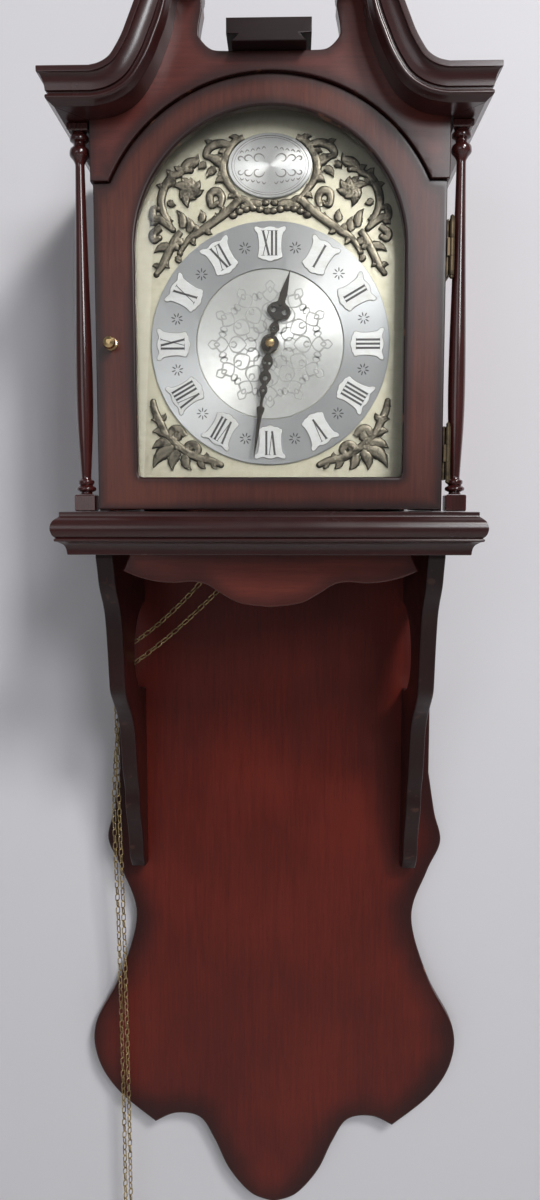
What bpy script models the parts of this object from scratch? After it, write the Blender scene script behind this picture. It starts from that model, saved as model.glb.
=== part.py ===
"""Hooded wall clock: swan-neck hood on a moulded shelf, two brackets and a shaped open backboard.

Everything is modelled about the middle of the shelf's top (X right, -Y to the front, Z up, back at Y = 0),
and each piece is then placed so that the hanging point on the wall plate is the part's origin.
"""
from math import asin, atan2, cos, pi, radians, sin, sqrt

import bmesh
import bpy
from mathutils import Vector

MM = 0.001
GAP = 0.3                      # clearance between touching pieces, mm

# Driving dimensions, in millimetres about the middle of the shelf's top
HANG_HEIGHT = 228.0            # hanging point above the shelf's top
BOARD_FRONT = -13.0            # front face of the backboard
BOARD_HOOD_HALF = 117.0        # backboard half width inside the hood
BOARD_OPEN_HALF = 143.0        # backboard half width below the shelf
SIDE_OUTER = 126.5             # outer face of the hood's sides
SIDE_INNER = 119.5
SIDE_FRONT = -153.5
HOOD_TOP = 294.3               # top of the level part of the cornice
SOFFIT = 22.3                  # height of the cornice section
CORNICE_BACK = -169.3          # plane on which the front mouldings are planted
PEDIMENT_FRONT = -169.0
PEDIMENT_BACK = -153.8
PEDIMENT_CORNER = 231.0        # lower corners of the pediment board
ARCH_CENTRE = 179.3            # centre of the arch between door and pediment board
DOOR_ARCH = 123.6
BOARD_ARCH = 124.3
DOOR_FRONT = -166.0
DOOR_BACK = -154.0
DOOR_HALF = 124.7
DOOR_BOTTOM = 1.5
OPENING_HALF = 95.7            # half width and arch radius of the door's opening
OPENING_BOTTOM = 25.0
OPENING_CENTRE = 186.0
ARCH_STEPS = 28                # straight pieces in each arch of the door
RABBET = 3.0
GLASS_FRONT = -158.2
GLASS_THICK = 2.5
KNOB = (-113.5, 119.5)
HINGE_X = 128.3
HINGE_Y = -166.5
HINGE_LENGTH = 38.0
HINGE_MIDDLES = {"upper": 185.3, "lower": 41.9}
COLUMN_X = 135.0
COLUMN_Y = -159.0
COLUMN_BLOCK = 7.3
DIAL_FRONT = -143.0
DIAL_THICK = 2.0
DIAL_HALF = 101.0
DIAL_BOTTOM = 18.0
DIAL_ARCH_CENTRE = 190.5
HANDS_Z = 122.6                # height of the hands' arbor
RING_OUTER = 87.9
RING_INNER = 54.4
BOSS_Z = 248.6
BOSS_HALF = (30.5, 22.6)       # half width and half height of the oval boss
HOUR_ANGLE = 15.7              # clockwise from twelve, half past twelve shown
MINUTE_ANGLE = 188.2
SHELF_HALF = 141.0
SHELF_FRONT = -197.0
SHELF_BOTTOM = -30.0
BRACKET_X = (117.0, 130.0)
FRONT_PLATE = (-121.5, -118.5)
BACK_PLATE = (-54.5, -51.5)
PLATE_HALF = 55.0
ARBOR_SHOULDERS = (-117.5, -56.0)
HAND_SEAT = -150.4             # front end of the centre arbor, under the collet nut

# Going train: teeth of each pair, their module and the arbors' places
GREAT_TEETH = 72
CENTRE_TEETH = 64
THIRD_TEETH = 64
ESCAPE_TEETH = 36
PINION = 8
GREAT_MODULE = 1.0
CENTRE_MODULE = 0.8
THIRD_MODULE = 0.65
CANNON_TEETH = 12
MINUTE_TEETH = 36
MINUTE_PINION = 10
HOUR_TEETH = 40
MOTION_DISTANCE = 24.0
ESCAPE_RADIUS = 15.0
SPROCKET_Y = -85.0
SPROCKET_RADIUS = 14.0
CHAIN_WIDTH = 4.8
END_RING = 9.0                 # radius of the ring on the chain's free end, to the middle of its wire
END_WIRE = 1.3

CENTRE_ARBOR = (0.0, HANDS_Z)
GREAT_DROP = sqrt((GREAT_MODULE * (GREAT_TEETH + PINION) / 2) ** 2 - 26.0 ** 2)
GREAT_ARBOR = (-26.0, HANDS_Z - GREAT_DROP)
THIRD_RISE = sqrt((CENTRE_MODULE * (CENTRE_TEETH + PINION) / 2) ** 2 - 18.5 ** 2)
THIRD_ARBOR = (18.5, HANDS_Z + THIRD_RISE)
ESCAPE_RISE = sqrt((THIRD_MODULE * (THIRD_TEETH + PINION) / 2) ** 2 - 18.5 ** 2)
ESCAPE_ARBOR = (0.0, THIRD_ARBOR[1] + ESCAPE_RISE)
ANCHOR_ARBOR = (0.0, ESCAPE_ARBOR[1] + 21.5)
MINUTE_STUD = (MOTION_DISTANCE * cos(radians(-45)), HANDS_Z + MOTION_DISTANCE * sin(radians(-45)))

for old in list(bpy.data.objects):
    bpy.data.objects.remove(old, do_unlink=True)

MATERIALS = {
    "mahogany": ((0.13, 0.035, 0.022), 0.32, 0.0),
    "mahogany_panel": ((0.26, 0.075, 0.045), 0.36, 0.0),
    "glass": ((0.85, 0.9, 0.88), 0.03, 0.0),
    "cream_plate": ((0.80, 0.78, 0.68), 0.35, 0.6),
    "silvered": ((0.70, 0.71, 0.70), 0.30, 0.9),
    "antique_casting": ((0.30, 0.29, 0.24), 0.42, 0.9),
    "bronze_hand": ((0.06, 0.055, 0.05), 0.40, 0.8),
    "brass": ((0.72, 0.53, 0.24), 0.26, 1.0),
    "old_brass": ((0.45, 0.36, 0.20), 0.38, 1.0),
    "steel": ((0.45, 0.45, 0.46), 0.30, 1.0),
}


def material(name):
    """One Principled material per finish."""
    found = bpy.data.materials.get(name)
    if found:
        return found
    colour, roughness, metallic = MATERIALS[name]
    made = bpy.data.materials.new(name)
    made.use_nodes = True
    shader = made.node_tree.nodes["Principled BSDF"]
    shader.inputs["Base Color"].default_value = (*colour, 1.0)
    shader.inputs["Roughness"].default_value = roughness
    shader.inputs["Metallic"].default_value = metallic
    return made


def place(name, shape, finish, origin=(0.0, 0.0, 0.0), smooth=False):
    """Turn a shape in mm into a named object whose origin is the given point."""
    bmesh.ops.recalc_face_normals(shape, faces=shape.faces)
    start = Vector(origin)
    for vert in shape.verts:
        vert.co = (vert.co - start) * MM
    mesh = bpy.data.meshes.new(name)
    shape.to_mesh(mesh)
    shape.free()
    if smooth:
        mesh.shade_smooth()
        mesh.set_sharp_from_angle(angle=radians(35))
    made = bpy.data.objects.new(name, mesh)
    made.location = (start - Vector((0.0, 0.0, HANG_HEIGHT))) * MM
    made.data.materials.append(material(finish))
    bpy.context.collection.objects.link(made)
    return made


def combine(target, shape, origin, operation):
    """Join or cut a shape into an object with a Boolean; the tool is hidden."""
    tool = place(target.name + "_tool", shape, "steel", origin)
    tool.hide_render = True
    tool.display_type = "WIRE"
    step = target.modifiers.new(operation.lower(), "BOOLEAN")
    step.operation = operation
    step.object = tool
    step.solver = "EXACT"


def loft(rings, closed=False):
    """Skin a list of equal rings of points; open lofts get end caps."""
    shape = bmesh.new()
    loops = [[shape.verts.new(point) for point in ring] for ring in rings]
    count = len(rings[0])
    pairs = list(zip(loops, loops[1:]))
    if closed:
        pairs.append((loops[-1], loops[0]))
    for low, high in pairs:
        for i in range(count):
            j = (i + 1) % count
            shape.faces.new((low[i], low[j], high[j], high[i]))
    if not closed:
        shape.faces.new(loops[0])
        shape.faces.new(loops[-1])
    return shape


def prism(outline, front, back):
    """Extrude an outline of (x, z) points between two Y planes."""
    return loft([[(x, y, z) for x, z in outline] for y in (front, back)])


def side_prism(outline, low, high):
    """Extrude an outline of (y, z) points between two X planes."""
    return loft([[(x, y, z) for y, z in outline] for x in (low, high)])


def box(low, high):
    """A block between two corners."""
    corners = [(low[0], low[1]), (high[0], low[1]), (high[0], high[1]), (low[0], high[1])]
    return loft([[(x, y, z) for x, y in corners] for z in (low[2], high[2])])


def arc(centre, radius, start, end, steps):
    """Points on an arc in a plane, angles in degrees."""
    turns = [radians(start + (end - start) * i / steps) for i in range(steps + 1)]
    return [(centre[0] + radius * cos(a), centre[1] + radius * sin(a)) for a in turns]


def turned(profile, centre, segments, axis="Y", closed=False):
    """Turn a profile of (radius, height) about an axis through centre."""
    rings = []
    for radius, height in profile:
        ring = []
        for i in range(segments):
            a = 2 * pi * (i + 0.5) / segments
            u = centre[0] + radius * cos(a)
            v = centre[1] + radius * sin(a)
            ring.append((u, height, v) if axis == "Y" else (u, v, height))
        rings.append(ring)
    return loft(rings, closed)


def smooth_curve(points, steps):
    """A smooth curve through points of any dimension (Catmull-Rom)."""
    ends = [points[0]] + list(points) + [points[-1]]
    curve = []
    for a, b, c, d in zip(ends, ends[1:], ends[2:], ends[3:]):
        for i in range(steps):
            t = i / steps
            curve.append(tuple(
                0.5 * (2 * q + (r - p) * t + (2 * p - 5 * q + 4 * r - s) * t * t
                       + (3 * q - p - 3 * r + s) * t ** 3)
                for p, q, r, s in zip(a, b, c, d)))
    curve.append(tuple(points[-1]))
    return curve


def mirrored(half):
    """Close a right-hand outline, top centre to bottom centre, with its left-hand mirror."""
    left = [(-x, z) for x, z in reversed(half) if x > 1e-6]
    return list(half) + left


def bar(route, radius):
    """A round chain or wire solid: a poly curve with filled caps."""
    curve = bpy.data.curves.new("bar", "CURVE")
    curve.dimensions = "3D"
    curve.bevel_depth = radius * MM
    curve.bevel_resolution = 2
    curve.use_fill_caps = True
    spline = curve.splines.new("POLY")
    spline.points.add(len(route) - 1)
    for point, (x, y, z) in zip(spline.points, route):
        point.co = (x * MM, y * MM, (z - HANG_HEIGHT) * MM, 1.0)
    return curve


# ---------------------------------------------------------------- backboard and wall plate
def make_backboard():
    """Plain inside the hood, wider and open below the shelf, with lobes and a pointed foot."""
    lobes = smooth_curve([(143, -240), (149, -278), (155, -306), (143, -335), (129.5, -380), (146, -440),
                          (170, -488), (169, -524), (150, -557), (114, -588.5)], 4)
    foot = smooth_curve([(114, -588.5), (94, -579.5), (71, -583.5), (57, -606), (43, -636.5), (22, -661.5),
                         (0, -670)], 4)
    top = HOOD_TOP - GAP
    half = [(0, top), (BOARD_HOOD_HALF, top), (BOARD_HOOD_HALF, -8), (BOARD_OPEN_HALF, -8)]
    half += lobes + foot[1:]
    board = place("backboard", prism(mirrored(half), BOARD_FRONT, 0.0), "mahogany_panel")
    combine(board, box((-30, -2.3, 214), (30, 5, 262)), (0, 0, 0), "DIFFERENCE")
    combine(board, box((-6.5, -8.0, 240), (6.5, 0, 258)), (0, 0, 0), "DIFFERENCE")
    return board


def make_hanger():
    """Keyhole plate let into the back of the board, over a pocket for the wall screw's head."""
    plate = box((-29.7, -2.0, 214.3), (29.7, 0.0, 261.7))
    hanger = place("hanger_plate", plate, "steel")
    keyhole = [(2.0, 256.0)] + arc((0, 248), 4.5, 63, -243, 12) + [(-2.0, 256.0)]
    combine(hanger, prism(keyhole, -5.0, 5.0), (0, 0, 0), "DIFFERENCE")


# ---------------------------------------------------------------- shelf, apron and brackets
def make_shelf():
    """Moulded shelf: the section runs round the front and both ends."""
    section = [(0, 3.5), (-3.5, 3.5), (-4.6, 6.0), (-7, 8.4), (-11.5, 9.6), (-16, 8.4), (-18.3, 6.2),
               (-18.6, 7.4), (-20.4, 7.4), (-21, 5.0), (-23, 2.0), (-26, 0.5), (SHELF_BOTTOM, 0)]
    rings = []
    for z, out in section:
        edge = SHELF_HALF + out
        front = SHELF_FRONT - out
        back = BOARD_FRONT - GAP
        rings.append([(-edge, back, z), (-edge, front, z), (edge, front, z), (edge, back, z)])
    shelf = place("shelf", loft(rings), "mahogany")
    combine(shelf, box((-58, -105, -60), (58, -38, 30)), (0, 0, 0), "DIFFERENCE")


def make_apron():
    """Scalloped board under the shelf's front."""
    top = SHELF_BOTTOM - GAP
    edge = smooth_curve([(111, -44.5), (101, -48.8), (88, -52.3), (73, -53.8), (59, -52.8), (48, -54.8),
                         (38, -61), (22.6, -69), (0, -72)], 3)
    half = [(0, top), (105.5, top), (106.5, -34)] + edge
    place("apron", prism(mirrored(half), -150.0, -141.0), "mahogany_panel")


def make_bracket(side, sign):
    """Scalloped bracket with a D-shaped opening against the backboard."""
    back = BOARD_FRONT - GAP
    front = smooth_curve([(-158, -34), (-153, -45), (-147, -58), (-134, -73), (-127, -86), (-121, -110),
                          (-117, -133), (-113, -146), (-98, -160), (-86, -171), (-74, -190), (-66, -225),
                          (-57, -245), (-55, -262), (-42, -292), (-38, -312), (-28, -325)], 2)
    notch = [(back + 57.0 * cos(radians(a)) * -1.0, -122 + 39.0 * sin(radians(a)))
             for a in range(-90, 91, 15)]
    outline = [(back, SHELF_BOTTOM - GAP), (-158, SHELF_BOTTOM - GAP)] + front + [(back, -328)] + notch
    low, high = sorted((sign * BRACKET_X[0], sign * BRACKET_X[1]))
    place("bracket_" + side, side_prism(outline, low, high), "mahogany")


# ---------------------------------------------------------------- hood
def make_hood_shell():
    """Side panels and roof board."""
    back = BOARD_FRONT - GAP
    for side, sign in (("left", -1), ("right", 1)):
        low, high = sorted((sign * SIDE_INNER, sign * SIDE_OUTER))
        place("hood_side_" + side, box((low, SIDE_FRONT, GAP), (high, back, HOOD_TOP)), "mahogany_panel")
    roof = box((-SIDE_OUTER, SIDE_FRONT, HOOD_TOP + GAP), (SIDE_OUTER, back, HOOD_TOP + GAP + 6))
    place("hood_roof", roof, "mahogany")


SCROLL = (61.0, 356.0)
SCROLL_RADIUS = 16.5
# top edge of a swan neck from the level end to the scroll: x, z and how wide the moulding is
NECK = [(119, 294.3, 1), (112, 296, 1), (105.5, 300, 1), (100.8, 306.5, 1), (96.6, 314, 1), (93, 322.5, 1),
        (89.3, 331.5, 1), (85.3, 341, 0.95), (81, 349.5, 0.84), (77.5, 356, 0.72)]
# cornice section: drop below the top edge and projection from the pediment board
SECTION = [(0, 0), (0, 30.3), (3.8, 30.3), (4.6, 28.8), (7, 27), (10, 25.9), (13.8, 25.4), (14.3, 23.6),
           (15.6, 23.6), (16.2, 25), (17.6, 25.5), (19, 25), (20.5, 22.5), (SOFFIT, 20), (SOFFIT, 0)]
RETURN_SCALE = 0.9             # the returns project a little less than the front


def make_pediment_board():
    """Arched below for the door, swan-necked above, with a low middle for the plinth."""
    arch_start = asin((PEDIMENT_CORNER - ARCH_CENTRE) / BOARD_ARCH) * 180 / pi
    top = [(x - 0.8, z - 0.8) for x, z, width in NECK]
    scroll = arc(SCROLL, SCROLL_RADIUS - 0.9, 20, 200, 12)
    inner = smooth_curve([(46, 345), (48.6, 331), (47.5, 324.5), (40, 317.6), (30, 316.5)], 2)
    half = [(0, 316.5)] + list(reversed(inner)) + list(reversed(scroll)) + list(reversed(top))
    half += [(SIDE_OUTER - 0.5, HOOD_TOP - 0.8), (SIDE_OUTER - 0.5, PEDIMENT_CORNER)]
    half += arc((0, ARCH_CENTRE), BOARD_ARCH, arch_start, 90, 14)
    place("pediment_board", prism(mirrored(half), PEDIMENT_FRONT, PEDIMENT_BACK), "mahogany_panel")


def neck_rings(sign):
    """Sections of the front moulding, from the mitre at the corner to the end of the scroll."""
    path = [(x, z, w) for x, z, w in NECK]
    path += [(x, z, 0.72) for x, z in arc(SCROLL, SCROLL_RADIUS, 20, 180, 8)]
    rings = [[(sign * (SIDE_OUTER + GAP + RETURN_SCALE * out), CORNICE_BACK - out, HOOD_TOP - drop)
              for drop, out in SECTION]]
    for i, (x, z, width) in enumerate(path):
        before = path[max(i - 1, 0)]
        after = path[min(i + 1, len(path) - 1)]
        along = Vector((after[0] - before[0], after[1] - before[1])).normalized()
        if i == 0:
            along = Vector((-1.0, 0.0))
        inward = Vector((along.y, -along.x)) * -1.0
        rings.append([(sign * (x + inward.x * drop * width), CORNICE_BACK - out, z + inward.y * drop * width)
                      for drop, out in SECTION])
    return rings


def make_cornice():
    """Swan-neck mouldings on the front and level returns along the sides."""
    for side, sign in (("left", -1), ("right", 1)):
        place("swan_neck_" + side, loft(neck_rings(sign)), "mahogany")
        rings = []
        for near in (True, False):
            ring = []
            for drop, out in SECTION:
                x = SIDE_OUTER + GAP + RETURN_SCALE * out
                y = CORNICE_BACK - out + GAP * 2 if near else BOARD_FRONT - GAP
                ring.append((sign * x, y, HOOD_TOP - drop))
            rings.append(ring)
        place("cornice_return_" + side, loft(rings), "mahogany")


def make_plinth():
    """Stepped block between the swan necks."""
    foot = 316.8
    half = [(0, 332), (29, 332), (29, 321.8), (21, 321.5), (25.5, foot)]
    outline = mirrored(half + [(0, foot)])
    place("plinth_block", prism(outline, -181.0, -155.0), "mahogany")


def square_ring(half, z):
    """Sixteen points round a square block, matching a sixteen-sided round ring."""
    ring = []
    for i in range(16):
        a = 2 * pi * i / 16
        reach = half / max(abs(cos(a)), abs(sin(a)))
        ring.append((reach * cos(a), reach * sin(a), z))
    return ring


def make_column(side, sign):
    """Turned spindle column with square cap and base blocks, in one piece."""
    top = HOOD_TOP - SOFFIT - GAP
    profile = [(4.4, 12.6), (4.2, 14.0), (6.6, 15.5), (6.8, 17.5), (5.0, 19.5), (5.6, 21.0), (5.6, 22.4),
               (3.6, 24.0), (4.4, 40), (5.6, 62), (6.1, 85), (5.9, 115), (5.2, 150), (4.3, 190), (3.6, 225),
               (3.3, 246.0), (4.6, 248.5), (7.0, 252.5), (6.9, 255.0), (4.6, 257.0), (4.4, 259.0),
               (6.6, 261.0), (6.6, 264.0), (5.4, 266.0)]
    rings = [square_ring(COLUMN_BLOCK, GAP), square_ring(COLUMN_BLOCK, 12.2)]
    for radius, z in profile:
        rings.append([(radius * cos(2 * pi * i / 16), radius * sin(2 * pi * i / 16), z) for i in range(16)])
    rings += [square_ring(COLUMN_BLOCK, 266.4), square_ring(COLUMN_BLOCK, top)]
    moved = [[(x + sign * COLUMN_X, y + COLUMN_Y, z) for x, y, z in ring] for ring in rings]
    place("column_" + side, loft(moved), "mahogany", smooth=True)


# ---------------------------------------------------------------- door
def door_outline():
    """Outer outline of the door: square shoulders, then the arch, as (x, z) points."""
    shoulder = PEDIMENT_CORNER - 2 * GAP
    start = asin((shoulder - ARCH_CENTRE) / DOOR_ARCH) * 180 / pi
    arch = arc((0, ARCH_CENTRE), DOOR_ARCH, start, 180 - start, ARCH_STEPS)
    return [(-DOOR_HALF, DOOR_BOTTOM), (DOOR_HALF, DOOR_BOTTOM), (DOOR_HALF, shoulder)] + arch + \
           [(-DOOR_HALF, shoulder)]


def opening(grow):
    """The door's arched opening, grown by an amount; it has as many points as the outer outline."""
    half = OPENING_HALF + grow
    low = OPENING_BOTTOM - grow
    arch = arc((0, OPENING_CENTRE), half, 0, 180, ARCH_STEPS)
    return [(-half, low), (half, low), (half, OPENING_CENTRE - 36)] + arch + [(-half, OPENING_CENTRE - 36)]


def make_door():
    """Arched frame with a rabbet, glass, knob and two butt hinges."""
    outer = door_outline()
    step = GLASS_FRONT - GAP
    rings = [[(x, DOOR_FRONT, z) for x, z in outer],
             [(x, DOOR_BACK, z) for x, z in outer],
             [(x, DOOR_BACK, z) for x, z in opening(RABBET)],
             [(x, step, z) for x, z in opening(RABBET)],
             [(x, step, z) for x, z in opening(0)],
             [(x, DOOR_FRONT, z) for x, z in opening(0)]]
    hinge_line = (HINGE_X, HINGE_Y, 0)
    place("door_frame", loft(rings, closed=True), "mahogany_panel", hinge_line)
    pane = opening(RABBET - GAP)
    place("door_glass", prism(pane, GLASS_FRONT, GLASS_FRONT + GLASS_THICK), "glass", hinge_line)
    front = DOOR_FRONT - GAP
    knob = [(4.6, front), (4.6, front - 0.9), (2.1, front - 1.6), (2.1, front - 3.4), (3.8, front - 4.6),
            (4.7, front - 7.0), (3.9, front - 9.6), (1.6, front - 11.2)]
    place("door_knob", turned(knob, KNOB, 20), "brass", hinge_line, smooth=True)
    for level, middle in HINGE_MIDDLES.items():
        make_hinge(level, middle)


def make_hinge(level, middle):
    """Butt hinge: hood leaf with two knuckles, door leaf with one, and a headed pin."""
    low = middle - HINGE_LENGTH / 2
    third = HINGE_LENGTH / 3
    axis = (HINGE_X, HINGE_Y)
    base = (HINGE_X, HINGE_Y, middle)
    spans = {"hood": [(low, low + third), (low + 2 * third, low + 3 * third)],
             "door": [(low + third + GAP, low + 2 * third - GAP)]}
    plates = {"hood": (SIDE_OUTER + GAP, SIDE_OUTER + 1.4, -164.9, -138.0),
              "door": (DOOR_HALF + GAP, DOOR_HALF + 1.4, -165.6, -154.6)}
    for owner, (x_low, x_high, y_low, y_high) in plates.items():
        leaf = place("hinge_" + level + "_" + owner + "_leaf",
                     box((x_low, y_low, low), (x_high, y_high, low + HINGE_LENGTH)), "old_brass", base)
        for start, end in spans[owner]:
            barrel = turned([(1.9, start), (1.9, end)], axis, 16, "Z")
            combine(leaf, barrel, base, "UNION")
        if owner == "door":
            tab = box((x_low + 0.2, -167.6, spans[owner][0][0]), (HINGE_X - 0.4, -165.3, spans[owner][0][1]))
            combine(leaf, tab, base, "UNION")
        rest = [(low - 1, low + third + GAP), (low + 2 * third - GAP, low + HINGE_LENGTH + 1)]
        if owner == "hood":
            rest = [(low + third, low + 2 * third)]
        for start, end in rest:
            combine(leaf, turned([(2.3, start), (2.3, end)], axis, 16, "Z"), base, "DIFFERENCE")
        combine(leaf, turned([(1.1, low - 2), (1.1, low + HINGE_LENGTH + 2)], axis, 12, "Z"), base,
                "DIFFERENCE")
    high = low + HINGE_LENGTH
    pin = [(0.6, low - 2.8), (1.5, low - 1.8), (1.5, low - GAP), (0.95, low - GAP), (0.95, high + GAP),
           (1.5, high + GAP), (1.5, high + 1.8), (0.6, high + 2.8)]
    place("hinge_" + level + "_pin", turned(pin, axis, 12, "Z"), "old_brass", base, smooth=True)


# ---------------------------------------------------------------- dial and hands
def make_dial():
    """Arched plate with feet, chapter ring, centre disc, arch boss and four corner castings."""
    face = DIAL_FRONT
    half = [(0, DIAL_ARCH_CENTRE + DIAL_HALF)]
    half += list(reversed(arc((0, DIAL_ARCH_CENTRE), DIAL_HALF, 0, 86, 14)))
    half += [(DIAL_HALF, DIAL_BOTTOM), (0, DIAL_BOTTOM)]
    plate = place("dial_plate", prism(mirrored(half), face, face + DIAL_THICK), "cream_plate")
    for x in (-40, 40):
        for z in (70, 175):
            foot = turned([(3.0, face + 1), (3.0, FRONT_PLATE[0] - GAP)], (x, z), 12)
            combine(plate, foot, (0, 0, 0), "UNION")
    combine(plate, turned([(5.0, face - 5), (5.0, face + 5)], CENTRE_ARBOR, 16), (0, 0, 0), "DIFFERENCE")
    back = face - GAP
    ring = [(RING_OUTER, back), (RING_OUTER, back - 1.0), (RING_OUTER - 0.6, back - 1.4),
            (RING_INNER + 0.6, back - 1.4), (RING_INNER, back - 1.0), (RING_INNER, back)]
    place("chapter_ring", turned(ring, CENTRE_ARBOR, 48, closed=True), "silvered")
    disc = [(RING_INNER - GAP, back), (RING_INNER - GAP, back - 0.8), (5.0, back - 0.8), (5.0, back)]
    place("dial_centre", turned(disc, CENTRE_ARBOR, 40, closed=True), "silvered")
    dome = []
    for scale, rise in ((1.0, 0.0), (1.0, 0.8), (0.93, 1.6), (0.6, 2.6), (0.2, 3.0)):
        turns = [2 * pi * i / 32 for i in range(32)]
        dome.append([(BOSS_HALF[0] * scale * cos(a), back - rise, BOSS_Z + BOSS_HALF[1] * scale * sin(a))
                     for a in turns])
    place("arch_boss", loft(dome), "silvered", smooth=True)
    upper = [(1, 221.5), (22, 221.5), (38, 214.5), (60, 200.5), (74, 184), (80, 172), (87, 171.5),
             (88.5, 190), (87.5, 216), (82, 236), (72, 252), (56, 264), (40, 270), (35, 262), (34, 240),
             (25, 230), (1, 224.6)]
    lower = [(33, 31), (88, 28.5), (90.5, 34), (91, 83), (85, 82), (79, 60), (62, 45), (36, 37)]
    for side, sign in (("left", -1), ("right", 1)):
        for level, outline in (("upper", upper), ("lower", lower)):
            shape = prism([(sign * x, z) for x, z in outline], back - 2.2, back)
            place("spandrel_" + level + "_" + side, shape, "antique_casting")


def hand_outline(stations, angle):
    """Symmetrical hand from (distance, half width) stations, turned clockwise from twelve."""
    loop = [(-w, d) for d, w in stations] + [(w, d) for d, w in reversed(stations)]
    c = cos(radians(angle))
    s = sin(radians(angle))
    return [(x * c + y * s, HANDS_Z - x * s + y * c) for x, y in loop]


def make_hands():
    """Pierced-pattern hands, kept plain here, and the collet nut."""
    centre = (0, 0, HANDS_Z)
    hub = [(-6.2, 2.2), (-4.8, 4.8), (0, 6.6), (4.8, 4.8)]
    hour = hub + [(7, 1.8), (12, 4.6), (15, 1.6), (20, 5.5), (25, 8.8), (28, 8.8), (33, 4.8), (38, 2.2),
                  (54, 0.5)]
    minute = hub + [(7, 1.6), (15, 4.0), (18, 1.4), (22, 4.0), (26, 1.3), (34, 4.2), (38, 1.2), (50, 1.6),
                    (54, 0.9), (63, 2.6), (67, 0.9), (83, 0.5)]
    pointer = prism(hand_outline(hour, HOUR_ANGLE), -147.2, -146.0)
    hour_hand = place("hour_hand", pointer, "bronze_hand", centre)
    combine(hour_hand, turned([(3.8, -150), (3.8, -143)], CENTRE_ARBOR, 16), centre, "DIFFERENCE")
    pointer = prism(hand_outline(minute, MINUTE_ANGLE), -150.2, -149.0)
    minute_hand = place("minute_hand", pointer, "bronze_hand", centre)
    combine(minute_hand, turned([(2.4, -153), (2.4, -146)], CENTRE_ARBOR, 16), centre, "DIFFERENCE")
    nut = [(3.4, -150.9), (3.4, -151.6), (2.6, -153.0), (1.0, -153.8)]
    place("hand_nut", turned(nut, CENTRE_ARBOR, 16), "brass", centre, smooth=True)


# ---------------------------------------------------------------- movement
def gear_outline(teeth, module, toward, tooth_there):
    """Straight-flanked teeth; a tooth (or a gap) points along the given direction, in radians."""
    pitch = 2 * pi / teeth
    radius = module * teeth / 2
    start = toward if tooth_there else toward + pitch / 2
    points = []
    for i in range(teeth):
        middle = start + i * pitch
        for part, height in ((-0.27, -1.1), (-0.10, 0.75), (0.10, 0.75), (0.27, -1.1)):
            r = radius + height * module
            points.append((r * cos(middle + part * pitch), r * sin(middle + part * pitch)))
    return points


def gear(centre, outline, front, back):
    """A toothed disc on an arbor's axis."""
    return prism([(centre[0] + x, centre[1] + z) for x, z in outline], front, back)


def direction(start, end):
    """Angle of the line from one arbor to another."""
    return atan2(end[1] - start[1], end[0] - start[0])


def spindle(pivot, body):
    """Profile of an arbor between the plates: a pivot in each plate and a thicker body between."""
    low, high = ARBOR_SHOULDERS
    return [(pivot, FRONT_PLATE[0]), (pivot, low), (body, low), (body, high), (pivot, high),
            (pivot, BACK_PLATE[1])]


def arbor(name, centre, profile):
    """A turned arbor as the base of a wheel."""
    return place(name, turned(profile, centre, 12), "steel", (centre[0], 0, centre[1]), smooth=True)


def spokes(centre, hub, rim, front, back):
    """Openings between a wheel's four crossings, as one cutter of separate sectors."""
    cutter = bmesh.new()
    wide = 31.0                # half the angle of one opening at the rim
    for k in range(4):
        middle = 45.0 + 90.0 * k
        outline = arc(centre, rim, middle - wide, middle + wide, 6)
        outline += arc(centre, hub, middle + wide * 0.55, middle - wide * 0.55, 3)
        sector = prism(outline, front - 2, back + 2)
        bmesh.ops.recalc_face_normals(sector, faces=sector.faces)
        mesh = bpy.data.meshes.new("sector")
        sector.to_mesh(mesh)
        sector.free()
        cutter.from_mesh(mesh)
        bpy.data.meshes.remove(mesh)
    return cutter


def make_plates():
    """Front and back plates with legs, and four pillars."""
    half = [(0, 192), (PLATE_HALF, 192), (PLATE_HALF, 10.6), (38, 10.6), (36, 30), (24, 40), (0, 42)]
    for name, (front, back) in (("front_plate", FRONT_PLATE), ("back_plate", BACK_PLATE)):
        plate = place(name, prism(mirrored(half), front, back), "brass")
        holes = [(CENTRE_ARBOR, 2.2), (GREAT_ARBOR, 2.2), (THIRD_ARBOR, 1.2), (ESCAPE_ARBOR, 1.2)]
        holes.append((ANCHOR_ARBOR, 1.2 if name == "front_plate" else 4.5))
        for centre, radius in holes:
            drill = turned([(radius, front - 2), (radius, back + 2)], centre, 12)
            combine(plate, drill, (0, 0, 0), "DIFFERENCE")
    for side, x in (("left", -48), ("right", 48)):
        for level, z in (("upper", 184), ("lower", 54)):
            low = FRONT_PLATE[1] + GAP
            high = BACK_PLATE[0] - GAP
            profile = [(4.5, low), (4.5, low + 3), (3.0, low + 5), (3.0, high - 5), (4.5, high - 3),
                       (4.5, high)]
            place("pillar_" + level + "_" + side, turned(profile, (x, z), 12), "brass", smooth=True)


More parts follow.
